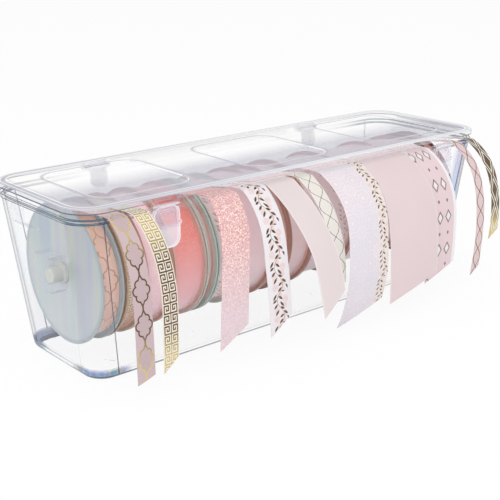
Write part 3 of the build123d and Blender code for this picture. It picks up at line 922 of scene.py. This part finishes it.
    def crossed_lozenges(self) -> Print:
        """Solid lozenges between crossing lines.

        Returns:
            The print.
        """
        period = self.art.period
        slanted = self.across * (period / self.art.width)
        rising, falling = (self.along + slanted).wrap(period), (self.along - slanted).wrap(period)
        solid = rising.inside(period * 0.33, 0.3) * falling.inside(period * 0.33, 0.3)
        lines = ((slope.abs() - period * 0.5).inside(period * 0.07, 0.3) for slope in (rising, falling))
        return self.ink_and_painted_lines(union((solid, *lines)), self.art.ground, self.foil_glint())

    def plain_weave(self) -> Print:
        """Plain dyed ribbon, slightly paler here and there, with an edge of its ink.

        Returns:
            The print.
        """
        cloud = self.g.noise(28.0, stretch=(1.0, 1.0, 0.4))
        edge = (self.across.abs() - self.art.width / 2).inside(0.9, 0.4)
        dyed = self.g.mix(cloud, self.art.ground, self.art.accent)
        return Print(self.g.mix(edge * 0.6, dyed, self.art.ink))


@dataclass(frozen=True)
class RibbonCloth(Finish):
    """Printed or plain ribbon: its pattern, its fine weave and its sheen.

    Behind the tails the winding's print shows only through a wash of one colour, which changes with height.
    """

    artwork: Artwork
    art: RibbonArt
    roughness: float = 0.42
    coat: float = 0.15
    wound: Colour = (0.99, 0.86, 0.86)
    wound_low: Colour = (0.99, 0.86, 0.88)
    wash: float = 0.65
    wound_behind: float = -47.5
    light_through: float = 0.6
    rib_pitch: float = 0.42
    thread_pitch: float = 0.30
    foil_roughness: float = 0.26

    def build(self) -> bpy.types.Material:
        """Make the material.

        Returns:
            The material.
        """
        g = self.tree()
        across, along, _ = g.split("UV")
        made: Print = getattr(Printer(g, across, along, self.art), self.artwork.value)()
        _, depth, height = g.axes()
        washed = depth.over(self.wound_behind, 3.0) * self.wash
        laid = g.mix(height.over(50.0, 60.0), self.wound_low, self.wound)
        relief = along.wave(self.rib_pitch) * 0.5 + across.wave(self.thread_pitch) * 0.5
        metallic: object = 0.0
        rough: object = self.roughness
        if made.foil:
            relief += made.foil * 1.5
            metallic = made.foil * 0.65 * (1.0 - washed)
            rough = made.foil * (self.foil_roughness - self.roughness) + self.roughness
        return g.surface(Base_Color=g.mix(washed, made.colour, laid), Metallic=metallic, Roughness=rough,
                         Alpha=g.clear_to_light(1.0, self.light_through), Coat_Weight=self.coat,
                         Coat_Roughness=0.25, Sheen_Weight=0.3, Sheen_Roughness=0.4,
                         Normal=g.bump(relief, 0.00004, 0.35))


# ---------------------------------------------------------------- meshes


def mesh_piece(name: str, verts: Sequence[Vector], faces: Sequence[Sequence[int]],
               spots: Sequence[tuple[float, float]]) -> bpy.types.Object:
    """A new piece whose UV map holds millimetres of ribbon.

    Args:
        name: The piece's name.
        verts: Places, in metres.
        faces: Corners of each face.
        spots: For each vertex, millimetres across and along the ribbon.

    Returns:
        The piece, in the scene.
    """
    mesh = bpy.data.meshes.new(name)
    mesh.from_pydata(verts, [], faces)
    layer = mesh.uv_layers.new(name="ribbon")
    for loop in mesh.loops:
        layer.data[loop.index].uv = spots[loop.vertex_index]
    return in_scene(bpy.data.objects.new(name, mesh))


def in_scene(thing: bpy.types.Object) -> bpy.types.Object:
    """Link an object into the scene and hand it back."""
    bpy.context.scene.collection.objects.link(thing)
    return thing


def pick(piece: bpy.types.Object) -> None:
    """Make one piece the selected and active one."""
    bpy.ops.object.select_all(action="DESELECT")
    piece.select_set(True)
    bpy.context.view_layer.objects.active = piece


def smooth(piece: bpy.types.Object, angle: float) -> None:
    """Shade smooth up to an angle, in degrees."""
    pick(piece)
    bpy.ops.object.shade_smooth_by_angle(angle=math.radians(angle))


def outward(piece: bpy.types.Object) -> None:
    """Turn every face of a closed piece outwards."""
    pick(piece)
    bpy.ops.object.mode_set(mode="EDIT")
    bpy.ops.mesh.select_all(action="SELECT")
    bpy.ops.mesh.normals_make_consistent(inside=False)
    bpy.ops.object.mode_set(mode="OBJECT")


def strip(first: int, rows: int) -> list[tuple[int, int, int, int]]:
    """Faces from the column of vertices that starts at first to the next, with a number of rows in each."""
    return [(a, a + rows, a + rows + 1, a + 1) for a in range(first, first + rows - 1)]


def dress(material: bpy.types.Material, *nodes: str) -> None:
    """Give CAD nodes their material.

    Args:
        material: What they are made of.
        *nodes: The nodes' names.
    """
    for node in nodes:
        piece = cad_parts[node]
        piece.data.materials.clear()
        piece.data.materials.append(material)
        log.info("%s dressed in %s", node, material.name)


# ---------------------------------------------------------------- the spools


COPPER_RIM: Colour = (0.70, 0.50, 0.44)


@dataclass(frozen=True)
class Spool:
    """One spool: how far its winding stops short of its rim, the gap before it, its ribbon and plastic."""

    name: str
    short: float
    gap: float
    cloth: RibbonCloth
    rim: Colour = COPPER_RIM
    face: Colour = (0.95, 0.76, 0.72)
    pearly: float = 0.0

    @property
    def width(self) -> float:
        """The width of its ribbon."""
        return self.cloth.art.width


@dataclass(frozen=True)
class Tail:
    """One hanging tail, with the same values as its solid."""

    name: str
    rim_width: float
    rim_shift: float
    hang_shift: float
    drift: float
    bow: float
    reach: float
    curl: float
    left_z: float
    right_z: float


@dataclass
class SpoolRow:
    """The row of spools and the ribbon wound on them. Angles go from +Y towards +Z."""

    spools: Sequence[Spool]
    tailed: Iterable[str]
    flange_radius: float = 45.8
    flange_side: float = 1.05
    bore_radius: float = 8.8
    axis_z: float = 60.4
    layer: float = 0.35
    rim_line_y: float = -50.0355
    crest_z: float = 108.825
    lift: float = 0.4
    taped_angle: float = 150.0
    sag: float = 0.05
    slack: float = 0.03
    smooth_angle: float = 30.0
    steps: int = 144
    columns: int = 6
    centres: dict[str, float] = field(default_factory=dict)

    def __post_init__(self) -> None:
        """Find where each spool sits."""
        length = sum(spool.gap + spool.width + 2 * self.flange_side for spool in self.spools)
        x = -length / 2
        for spool in self.spools:
            x += spool.gap
            self.centres[spool.name] = x + spool.width / 2 + self.flange_side
            x += spool.width + 2 * self.flange_side

    def winding_radius(self, spool: Spool) -> float:
        """Outer radius of the ribbon on a spool."""
        return self.flange_radius - spool.short

    def lifted_radius(self, spool: Spool) -> float:
        """Radius at which a tail leaves the winding."""
        return self.winding_radius(spool) + self.lift + self.layer / 2

    def leaving_angle(self, spool: Spool) -> float:
        """Angle at which the tail leaves, in degrees."""
        rise = self.crest_z - self.axis_z
        share = self.lifted_radius(spool) / math.hypot(self.rim_line_y, rise)
        return math.degrees(math.atan2(rise, self.rim_line_y)) - math.degrees(math.acos(share))

    def round_rod(self, radius: float, angle: float) -> tuple[float, float]:
        """The y and z of a place at a radius and an angle, in radians, about the rod."""
        return radius * math.cos(angle), self.axis_z + radius * math.sin(angle)

    def winding(self, spool: Spool) -> bpy.types.Object:
        """The ribbon wound on a spool: a thick ring whose outer layer runs up in a spiral to its end.

        Args:
            spool: The spool.

        Returns:
            The piece.
        """
        end = self.leaving_angle(spool) if spool.name in self.tailed else self.taped_angle
        middle, outer = self.centres[spool.name], self.winding_radius(spool)
        rows = self.steps + 1
        verts, spots, faces = [], [], []

        def put(share: float, turned: float, radius: float, rolled: float) -> None:
            """Add a vertex.

            Args:
                share: Place across the ribbon, from -0.5 to 0.5.
                turned: Turn from the ribbon's end, in degrees.
                radius: Distance from the rod's axis.
                rolled: Radius that its place along the ribbon is measured at.
            """
            y, z = self.round_rod(radius, math.radians(end - turned))
            verts.append(Vector((middle + share * spool.width, y, z)) * MM)
            spots.append((share * spool.width, math.radians(turned) * rolled))

        for column in range(self.columns + 1):
            share = column / self.columns - 0.5
            for row in range(rows):
                turned = 360.0 * row / self.steps
                sag = self.sag * math.sin(math.radians(turned * 3 + spool.width * 20)) - self.slack
                radius = outer - self.layer * turned / 360 + min(0.0, sag) * (1 - 4 * share * share)
                put(share, turned, radius, outer)
        for first in range(0, self.columns * rows, rows):
            last = first + rows - 1
            faces += [*strip(first, rows), (first, last, last + rows, first + rows)]
        bore = []
        for side in (0, self.columns):
            start, edge = len(verts), side * rows
            bore.append(start)
            for row in range(self.steps):
                put(side / self.columns - 0.5, 360.0 * row / self.steps, self.bore_radius, self.bore_radius)
                faces.append((edge + row, edge + row + 1, start + (row + 1) % self.steps, start + row))
            faces.append((edge + self.steps, edge, start))
        for row in range(self.steps):
            after = (row + 1) % self.steps
            faces.append((bore[0] + row, bore[0] + after, bore[1] + after, bore[1] + row))
        piece = mesh_piece(f"ribbon_pack_{spool.name}", verts, faces, spots)
        outward(piece)
        smooth(piece, self.smooth_angle)
        return piece

    def build(self, cloths: dict[str, bpy.types.Material]) -> None:
        """Dress the spools and wind their ribbons.

        Args:
            cloths: The material of each ribbon, by spool.
        """
        flanges: dict[Colour, bpy.types.Material] = {}
        for spool in self.spools:
            if spool.rim not in flanges:
                made = Flange(f"flange_{len(flanges)}", spool.rim, spool.face, spool.pearly)
                flanges[spool.rim] = made.build()
            dress(flanges[spool.rim], f"spool_{spool.name}")
            piece = self.winding(spool)
            piece.data.materials.append(cloths[spool.name])
            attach(piece, f"spool_{spool.name}")
            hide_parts(f"wound_{spool.name}")
            log.info("%s wound", piece.name)


# ---------------------------------------------------------------- the tails


@dataclass
class HungTail:
    """A tail: it lies on its winding, runs to the front rim and hangs down to its slanted end.

    A station is the middle of the ribbon as x, y and z, and its width.
    """

    tail: Tail
    spool: Spool
    row: SpoolRow
    front_y: float = -54.5355
    shift_start_y: float = -14.0
    slant_drop: float = 45.0
    narrow_drop: float = 30.0
    drift_span: float = 50.0
    curl_drop: float = 55.0
    curl_span: float = 45.0
    arch_drop: float = 20.0
    arch_share: float = 0.012
    ripple: float = 0.12
    ripple_length: float = 9.0
    laid_gap: float = 0.2
    spare: float = 2.0
    row_length: float = 1.3
    crowding: float = 1.3
    cut_margin: float = 5.0
    thickness: float = 0.24
    least_declared: float = 10.0
    columns: int = 12
    laid_rows: int = 15
    inner_rows: int = 24
    end_rows: int = 10
    wrap_degrees: float = 42.0
    softenings: int = 3

    def __post_init__(self) -> None:
        """Find the ribbon's middle and where it leaves its winding."""
        self.middle = self.row.centres[self.spool.name]
        self.leave = self.row.leaving_angle(self.spool)
        self.lifted = self.row.lifted_radius(self.spool)

    def wrapped(self) -> list[Station]:
        """Stations where the tail still lies on its winding.

        Returns:
            The stations.
        """
        laid = self.row.winding_radius(self.spool) + self.laid_gap
        out = []
        for step in range(self.laid_rows):
            share = step / self.laid_rows
            radius = laid + (self.lifted - laid) * share * share
            angle = math.radians(self.leave - self.wrap_degrees * (1 - share))
            out.append((self.middle, *self.row.round_rod(radius, angle), self.spool.width))
        return out

    def inner_run(self) -> list[Station]:
        """Stations from the winding to the rim.

        Returns:
            The stations.
        """
        start_y, start_z = self.row.round_rod(self.lifted, math.radians(self.leave))
        end_y, end_z = self.row.rim_line_y, self.row.crest_z
        out = []
        for step in range(self.inner_rows):
            y = start_y + (end_y - start_y) * step / self.inner_rows
            z = start_z + (end_z - start_z) * (start_y - y) / (start_y - end_y)
            share = max(0.0, (self.shift_start_y - y) / (self.shift_start_y - end_y))
            ease = share * share * (3 - 2 * share)
            out.append((self.middle + self.tail.rim_shift * ease, y, z,
                        self.spool.width + (self.tail.rim_width - self.spool.width) * ease))
        return out

    def hanging(self) -> list[Station]:
        """Stations from the rim to just below the cut end.

        Returns:
            The stations.
        """
        tail = self.tail
        fall = self.row.crest_z - min(tail.left_z, tail.right_z) + self.spare
        count = int(fall / self.row_length)
        out = []
        for step in range(count + 1):
            drop = fall * (step / count) ** self.crowding
            shift = tail.rim_shift + (tail.hang_shift - tail.rim_shift) * min(1.0, drop / self.slant_drop)
            shift += tail.drift * max(0.0, (drop - self.slant_drop) / self.drift_span)
            y = self.front_y - tail.bow * (1 - math.exp(-drop / tail.reach))
            y += tail.curl * max(0.0, (drop - self.curl_drop) / self.curl_span) ** 2
            narrow = min(1.0, drop / self.narrow_drop)
            out.append((self.middle + shift, y, self.row.crest_z - drop,
                        tail.rim_width + (self.spool.width - tail.rim_width) * narrow))
        return out

    def eased(self, stations: list[Station]) -> list[Station]:
        """Soften the bends of a run of stations, keeping its ends.

        Args:
            stations: The stations.

        Returns:
            The softened stations.
        """
        for _ in range(self.softenings):
            runs = zip(stations, stations[1:], stations[2:])
            softened = [tuple((a + 2 * b + c) / 4 for a, b, c in zip(*run)) for run in runs]
            stations = [stations[0], *softened, stations[-1]]
        return stations

    def band(self) -> tuple[bpy.types.Object, float, float]:
        """The tail as a thin sheet cut on the slant.

        Returns:
            The piece, its length and its flat area, in metres.
        """
        tail = self.tail
        stations = self.eased(self.wrapped() + self.inner_run() + self.hanging())
        lengths = [0.0]
        for before, after in zip(stations, stations[1:]):
            lengths.append(lengths[-1] + math.dist(before[:3], after[:3]))
        top_cut = max(tail.left_z, tail.right_z) + self.cut_margin
        fixed = max(i for i, station in enumerate(stations) if station[2] > top_cut)
        verts, spots = [], []
        rows = fixed + self.end_rows + 1
        for column in range(self.columns + 1):
            share = column / self.columns - 0.5
            last = station_at(stations, fixed, tail.left_z + (tail.right_z - tail.left_z) * (share + 0.5))
            for row in range(rows):
                place = row if row <= fixed else fixed + (last - fixed) * (row - fixed) / self.end_rows
                low = min(int(place), len(stations) - 2)
                part = place - low
                x, y, z, width = (a + (b - a) * part for a, b in zip(stations[low], stations[low + 1]))
                length = lengths[low] + (lengths[low + 1] - lengths[low]) * part
                y += self.cross_arch(y, z, share, length)
                verts.append(Vector((x + share * width, y, z)) * MM)
                spots.append((share * self.spool.width, length))
        faces = [face for column in range(self.columns) for face in strip(column * rows, rows)]
        piece = mesh_piece(f"ribbon_tail_{tail.name}", verts, faces, spots)
        area = sum(face.area for face in piece.data.polygons)
        pick(piece)
        thick = piece.modifiers.new("thickness", "SOLIDIFY")
        thick.thickness = self.thickness * MM
        thick.offset = 0.0
        bpy.ops.object.modifier_apply(modifier=thick.name)
        smooth(piece, 60.0)
        return piece, max(length for _, length in spots) * MM, area

    def cross_arch(self, y: float, z: float, share: float, length: float) -> float:
        """How far a point of the hanging sheet stands off its middle line.

        Args:
            y: The middle line's place from front to back.
            z: Its height.
            share: Place across the ribbon, from -0.5 to 0.5.
            length: Place along the ribbon.

        Returns:
            The offset in y.
        """
        free = min(1.0, max(0.0, (self.row.crest_z - z) / self.arch_drop))
        if y > self.row.rim_line_y:
            free = 0.0
        curve = self.arch_share * self.tail.rim_width * (1 - 4 * share * share)
        ripple = self.ripple * math.sin(length / self.ripple_length + self.tail.bow + 2.0 * share)
        return -free * (curve + ripple)

    def build(self, cloth: bpy.types.Material) -> None:
        """Hang the tail.

        Args:
            cloth: The ribbon's material.
        """
        name = self.tail.name
        piece, length, area = self.band()
        piece.data.materials.append(cloth)
        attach(piece, "bin")
        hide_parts(f"tail_{name}")
        width = max(self.least_declared, self.spool.width) * MM
        min(area, width * length)
        log.info("%s hung, %.0f mm long", piece.name, length / MM)


def station_at(stations: Sequence[Station], start: int, height: float) -> float:
    """Where along the stations a height is reached.

    Args:
        stations: The stations.
        start: The first station to look from.
        height: The height.

    Returns:
        The place, as a station's number and a part of the next.
    """
    for i in range(start, len(stations) - 1):
        above, below = stations[i][2], stations[i + 1][2]
        if above >= height >= below:
            return i + (above - height) / (above - below)
    return len(stations) - 1.0


# ---------------------------------------------------------------- the box


@dataclass
class Box:
    """The clear box: its bin, lid, latches and pins."""

    shell: Sequence[str] = ("bin", "bin_end_left", "bin_end_right", "bin_floor")
    fittings: Sequence[str] = ("rod_cradle_left", "rod_cradle_right", "end_ledge_left", "end_ledge_right")
    hinge: ClearPlastic = ClearPlastic(
        "hinge_plastic", edge=(0.84, 0.86, 0.90), edge_alpha=0.2, least_alpha=0.5)
    split_x: float = 151.1
    split_z: float = 3.2
    panel_y: float = 30.0
    panel_x: float = 155.0
    near: float = 0.05
    flat: float = 0.99
    weld: float = 0.01

    def on_split(self, node: str, face: bmesh.types.BMFace) -> bool:
        """Whether a face lies where two nodes of the bin meet.

        Args:
            node: The node that the face comes from.
            face: The face.

        Returns:
            True on such a face.
        """
        middle, normal = face.calc_center_median() / MM, face.normal
        if abs(abs(middle.x) - self.split_x) < self.near and abs(normal.x) > self.flat:
            return True
        if abs(middle.z - self.split_z) > self.near or abs(normal.z) < self.flat:
            return False
        return node != "bin_floor" or abs(middle.y) > self.panel_y or abs(middle.x) > self.panel_x

    def moulding(self) -> bpy.types.Object:
        """The bin as one moulding, with nothing inside its walls.

        Returns:
            The piece.
        """
        whole = bmesh.new()
        for node in self.shell:
            part = bmesh.new()
            part.from_mesh(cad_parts[node].data)
            part.normal_update()
            inner = [face for face in part.faces if self.on_split(node, face)]
            bmesh.ops.delete(part, geom=inner, context="FACES")
            copy = bpy.data.meshes.new(node)
            part.to_mesh(copy)
            part.free()
            whole.from_mesh(copy)
            bpy.data.meshes.remove(copy)
        bmesh.ops.remove_doubles(whole, verts=whole.verts, dist=self.weld * MM)
        mesh = bpy.data.meshes.new("bin_moulding")
        whole.to_mesh(mesh)
        whole.free()
        piece = in_scene(bpy.data.objects.new("bin_moulding", mesh))
        smooth(piece, 30.0)
        even = piece.modifiers.new("even normals", "WEIGHTED_NORMAL")
        even.weight = 100
        even.keep_sharp = True
        bpy.ops.object.modifier_apply(modifier=even.name)
        return piece

    def build(self) -> None:
        """Make the moulding and dress the other parts."""
        clear = BinPlastic("clear_plastic").build()
        piece = self.moulding()
        piece.data.materials.append(clear)
        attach(piece, "bin")
        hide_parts(*self.shell)
        log.info("%s made", piece.name)
        dress(ClearPlastic("fitting_plastic").build(), *self.fittings)
        dress(self.hinge.build(), "hinge_ears")
        dress(FrostedPlastic("frosted_plastic").build(), "lid")
        dress(LatchPlastic("lilac_plastic").build(), "latch_left", "latch_right")
        dress(DrawnSteel("steel_wire").build(), "hinge_pins", "latch_pins")


@dataclass
class Spindle:
    """The rod and its end knobs."""

    white: PlainPlastic = PlainPlastic("rod_white", (0.88, 0.88, 0.86), (0.80, 0.80, 0.79))
    cream: PlainPlastic = PlainPlastic("knob_cream", (0.76, 0.77, 0.73), (0.70, 0.705, 0.65))

    def build(self) -> None:
        """Dress the rod and its knobs."""
        dress(self.white.build(), "rod")
        dress(self.cream.build(), "rod_knob_left", "rod_knob_right")


# ---------------------------------------------------------------- light, floor and camera


@dataclass(frozen=True)
class Lamp:
    """A square soft lamp: its place and side in metres, and its power in watts."""

    name: str
    place: Triple
    side: float
    power: float


@dataclass
class Studio:
    """A pale floor, soft lamps and the photograph's camera. Places are in metres and angles in degrees."""

    lamps: Sequence[Lamp] = (
        Lamp("key", (-0.85, -1.05, 0.70), 1.3, 9.8),
        Lamp("top", (-0.3, -0.3, 1.6), 1.2, 5.0),
    )
    camera_place: Triple = (-0.47035, -0.53585, 0.27795)
    azimuth: float = -40.739
    elevation: float = 18.4245
    roll: float = 0.094
    lens: float = 73.87
    sensor: float = 36.0
    clip: tuple[float, float] = (0.01, 50.0)
    aim: Triple = (0.0, 0.0, 0.06)
    world_strength: float = 0.95
    floor_size: float = 30.0
    floor_z: float = -0.0003
    floor_colour: Colour = (0.97, 0.97, 0.975)
    floor_glow: float = 0.90

    def camera(self) -> None:
        """Put the camera where the photograph was taken."""
        a, e, r = (math.radians(v) for v in (self.azimuth, self.elevation, self.roll))
        back = Vector((math.sin(a) * math.cos(e), -math.cos(a) * math.cos(e), math.sin(e)))
        right = (-back).cross(Vector((0, 0, 1))).normalized()
        up = right.cross(-back)
        turned_right = right * math.cos(r) + up * math.sin(r)
        turned_up = up * math.cos(r) - right * math.sin(r)
        data = bpy.data.cameras.new("camera")
        data.lens, data.sensor_width = self.lens, self.sensor
        data.clip_start, data.clip_end = self.clip
        eye = in_scene(bpy.data.objects.new("camera", data))
        turn = Matrix((turned_right, turned_up, back)).transposed().to_4x4()
        eye.matrix_world = Matrix.Translation(Vector(self.camera_place)) @ turn
        bpy.context.scene.camera = eye

    def light(self, lamp: Lamp) -> None:
        """Put up a lamp that points at the box.

        Args:
            lamp: The lamp.
        """
        data = bpy.data.lights.new(lamp.name, "AREA")
        data.size, data.energy = lamp.side, lamp.power
        holder = in_scene(bpy.data.objects.new(lamp.name, data))
        holder.location = lamp.place
        holder.rotation_mode = "QUATERNION"
        holder.rotation_quaternion = (Vector(self.aim) - Vector(lamp.place)).to_track_quat("-Z", "Y")

    def floor(self) -> None:
        """A wide pale floor that shows almost white."""
        bpy.ops.object.select_all(action="DESELECT")
        bpy.ops.mesh.primitive_plane_add(size=self.floor_size, location=(0.0, 0.0, self.floor_z))
        ground = bpy.context.active_object
        ground.name = "floor"
        g = Graph(bpy.data.materials.new("pale_floor"))
        seen = g.rays(*SEEN_RAYS) * self.floor_glow
        diffuse = g.node("BsdfDiffuse", {"Color": self.floor_colour})
        g.close(g.node("MixShader", {0: seen, 1: diffuse, 2: g.node("Emission")}))
        ground.data.materials.append(g.holder)

    def world(self) -> None:
        """Even white light all round, and a white backdrop."""
        g = Graph(bpy.data.worlds.new("studio"))
        soft = g.node("Background", {"Strength": self.world_strength})
        g.close(g.node("MixShader", {0: g.rays(*SEEN_RAYS), 1: soft, 2: g.node("Background")}), "World")
        bpy.context.scene.world = g.holder

    def build(self) -> None:
        """Set up the studio."""
        self.camera()
        self.world()
        self.floor()
        for lamp in self.lamps:
            self.light(lamp)
        bpy.context.scene.view_settings.view_transform = "Standard"


# ---------------------------------------------------------------- the ribbons and their sizes


# BROWN is the ink of the gold foil prints: the foil's painted shade, which gives way to a painted glint
# near a tail's ends.
BROWN: Colour = (0.40, 0.30, 0.20)
PEARL_RIM: Colour = (0.62, 0.67, 0.69)
MINT_RIM: Colour = (0.74, 0.78, 0.75)
DARK_RIM: Colour = (0.45, 0.20, 0.10)
SPRIG_BAND = RibbonArt(14.0, (0.875, 0.835, 0.82), (0.40, 0.31, 0.18), (0.85, 0.735, 0.71), 21.0)

SPOOLS = (
    Spool("trellis_peach", 3.2, 0.0, RibbonCloth(
        "ribbon_quatrefoil", Artwork.QUATREFOIL,
        RibbonArt(12.7, (0.74, 0.655, 0.665), BROWN, (0.68, 0.595, 0.605), 21.3, 0.48),
        wound=(0.93, 0.76, 0.67), wound_low=(0.90, 0.74, 0.68), wash=0.62),
        PEARL_RIM, (0.59, 0.64, 0.67), 0.95),
    Spool("greek_key", 4.0, 2.8, RibbonCloth(
        "ribbon_greek_key", Artwork.GREEK_KEY, RibbonArt(11.3, (0.865, 0.835, 0.78), BROWN, period=6.4),
        wound=(0.93, 0.88, 0.78), wound_low=(0.84, 0.66, 0.58)), (0.70, 0.58, 0.47)),
    Spool("lace_mauve", 3.4, 1.7, RibbonCloth(
        "ribbon_lace_mauve", Artwork.DOILY,
        RibbonArt(18.0, (0.88, 0.70, 0.76), (0.80, 0.58, 0.66), (0.96, 0.86, 0.90), 11.0))),
    Spool("glitter_coral", 2.6, 1.3, RibbonCloth(
        "ribbon_glitter", Artwork.GLITTER,
        RibbonArt(22.2, (0.86, 0.675, 0.67), (1.0, 0.90, 0.87), (0.76, 0.555, 0.56)),
        roughness=0.35, coat=0.3, wound=(0.93, 0.51, 0.47), wound_low=(0.98, 0.80, 0.83), wash=0.8),
        (0.80, 0.66, 0.62)),
    Spool("narrow_grey", 4.8, 1.7, RibbonCloth(
        "ribbon_narrow_grey", Artwork.PLAIN,
        RibbonArt(5.5, (0.80, 0.79, 0.78), (0.88, 0.88, 0.87), (0.84, 0.78, 0.77)),
        wound=(0.90, 0.80, 0.78), wound_low=(0.90, 0.82, 0.80), wash=0.8), MINT_RIM),
    Spool("leaf_sprig", 3.8, 1.9, RibbonCloth(
        "ribbon_leaf_sprig", Artwork.SPRIGS,
        RibbonArt(19.0, (0.87, 0.85, 0.865), (0.38, 0.29, 0.15), (0.85, 0.68, 0.64), 22.0)), MINT_RIM),
    Spool("satin_pink", 3.0, 1.4, RibbonCloth(
        "ribbon_satin_pink", Artwork.PLAIN,
        RibbonArt(22.2, (0.85, 0.80, 0.80), (0.89, 0.855, 0.855), (0.83, 0.775, 0.78)),
        roughness=0.3, coat=0.3, wound=(0.99, 0.85, 0.87), wound_low=(0.99, 0.87, 0.89), wash=0.9)),
    Spool("trellis_white", 4.2, 1.2, RibbonCloth(
        "ribbon_trellis_white", Artwork.CROSSING_WAVES,
        RibbonArt(12.0, (0.87, 0.85, 0.825), (0.32, 0.28, 0.25), (0.84, 0.81, 0.775), 14.0, 0.24))),
    Spool("lace_peach", 3.6, 1.2, RibbonCloth(
        "ribbon_lace_peach", Artwork.DOILY,
        RibbonArt(18.0, (0.96, 0.84, 0.83), (0.93, 0.78, 0.78), (0.99, 0.95, 0.94), 9.0))),
    Spool("lace_lilac", 3.2, 1.1, RibbonCloth(
        "ribbon_lace_lilac", Artwork.BANDED_DOILY,
        RibbonArt(38.1, (0.865, 0.815, 0.835), (0.83, 0.81, 0.845), (0.905, 0.875, 0.885), 15.0))),
    Spool("satin_blush", 2.8, 1.0, RibbonCloth(
        "ribbon_satin_blush", Artwork.PLAIN,
        RibbonArt(50.8, (0.855, 0.785, 0.79), (0.88, 0.83, 0.83), (0.83, 0.75, 0.76)),
        roughness=0.3, coat=0.3, wound=(0.98, 0.86, 0.87), wash=0.8)),
    Spool("diamond_dot", 3.4, 1.0, RibbonCloth(
        "ribbon_diamond_dot", Artwork.LOZENGES,
        RibbonArt(31.0, (0.86, 0.77, 0.785), (0.40, 0.35, 0.34), period=25.0))),
    Spool("trellis_rose", 4.4, 1.0, RibbonCloth(
        "ribbon_trellis_rose", Artwork.CROSSING_WAVES,
        RibbonArt(8.8, (0.83, 0.735, 0.735), (0.46, 0.35, 0.30), (0.85, 0.775, 0.765), 15.0, 0.40)),
        DARK_RIM),
    Spool("plaid_gold", 3.8, 1.0, RibbonCloth(
        "ribbon_plaid_gold", Artwork.CROSSED_LOZENGES,
        RibbonArt(9.6, (0.87, 0.855, 0.80), BROWN, period=23.0, glint_above=140.0, glint_below=52.0)),
        DARK_RIM),
)

TAILS = (
    Tail("trellis_peach", 12.7, -1.4, -1.2, 0.5, 24.0, 16.0, 0.0, 11.0, 15.0),
    Tail("greek_key", 11.3, -2.8, 0.2, -1.0, 26.0, 16.0, 0.0, 14.0, 23.0),
    Tail("glitter_coral", 22.2, 17.8, 10.2, -2.5, 24.0, 16.0, 0.0, 15.0, 28.0),
    Tail("leaf_sprig", 19.0, 9.9, 8.7, 3.5, 27.0, 18.0, 0.0, 14.0, 27.0),
    Tail("satin_pink", 24.0, 8.2, 19.2, 7.0, 42.0, 27.0, 0.0, 22.0, 38.0),
    Tail("trellis_white", 13.0, 10.3, 14.8, 0.0, 33.0, 20.0, 0.0, 30.0, 40.0),
    Tail("lace_lilac", 42.0, -4.7, -9.2, 0.0, 36.0, 16.0, 9.0, 3.0, 18.0),
    Tail("satin_blush", 45.0, -8.3, -7.0, 1.0, 33.0, 16.0, 0.0, 12.0, 25.0),
    Tail("diamond_dot", 25.3, -15.9, -9.3, 0.0, 24.0, 14.0, 3.0, 12.0, 24.0),
    Tail("trellis_rose", 9.0, 5.7, 7.2, 0.0, 28.0, 15.0, 3.0, 8.0, 15.0),
    Tail("plaid_gold", 9.0, 10.4, 15.9, 0.0, 26.0, 14.0, 8.0, 33.0, 40.0),
)


def main() -> None:
    """Build the whole dispenser and its studio."""
    logging.basicConfig(level=logging.INFO, format="%(name)s: %(message)s")
    Studio().build()
    cloths = {spool.name: spool.cloth.build() for spool in SPOOLS}
    by_name = {spool.name: spool for spool in SPOOLS}
    row = SpoolRow(SPOOLS, {tail.name for tail in TAILS})
    Box().build()
    Spindle().build()
    row.build(cloths)
    for tail in TAILS:
        HungTail(tail, by_name[tail.name], row).build(cloths[tail.name])


if __name__ == "__main__":
    main()
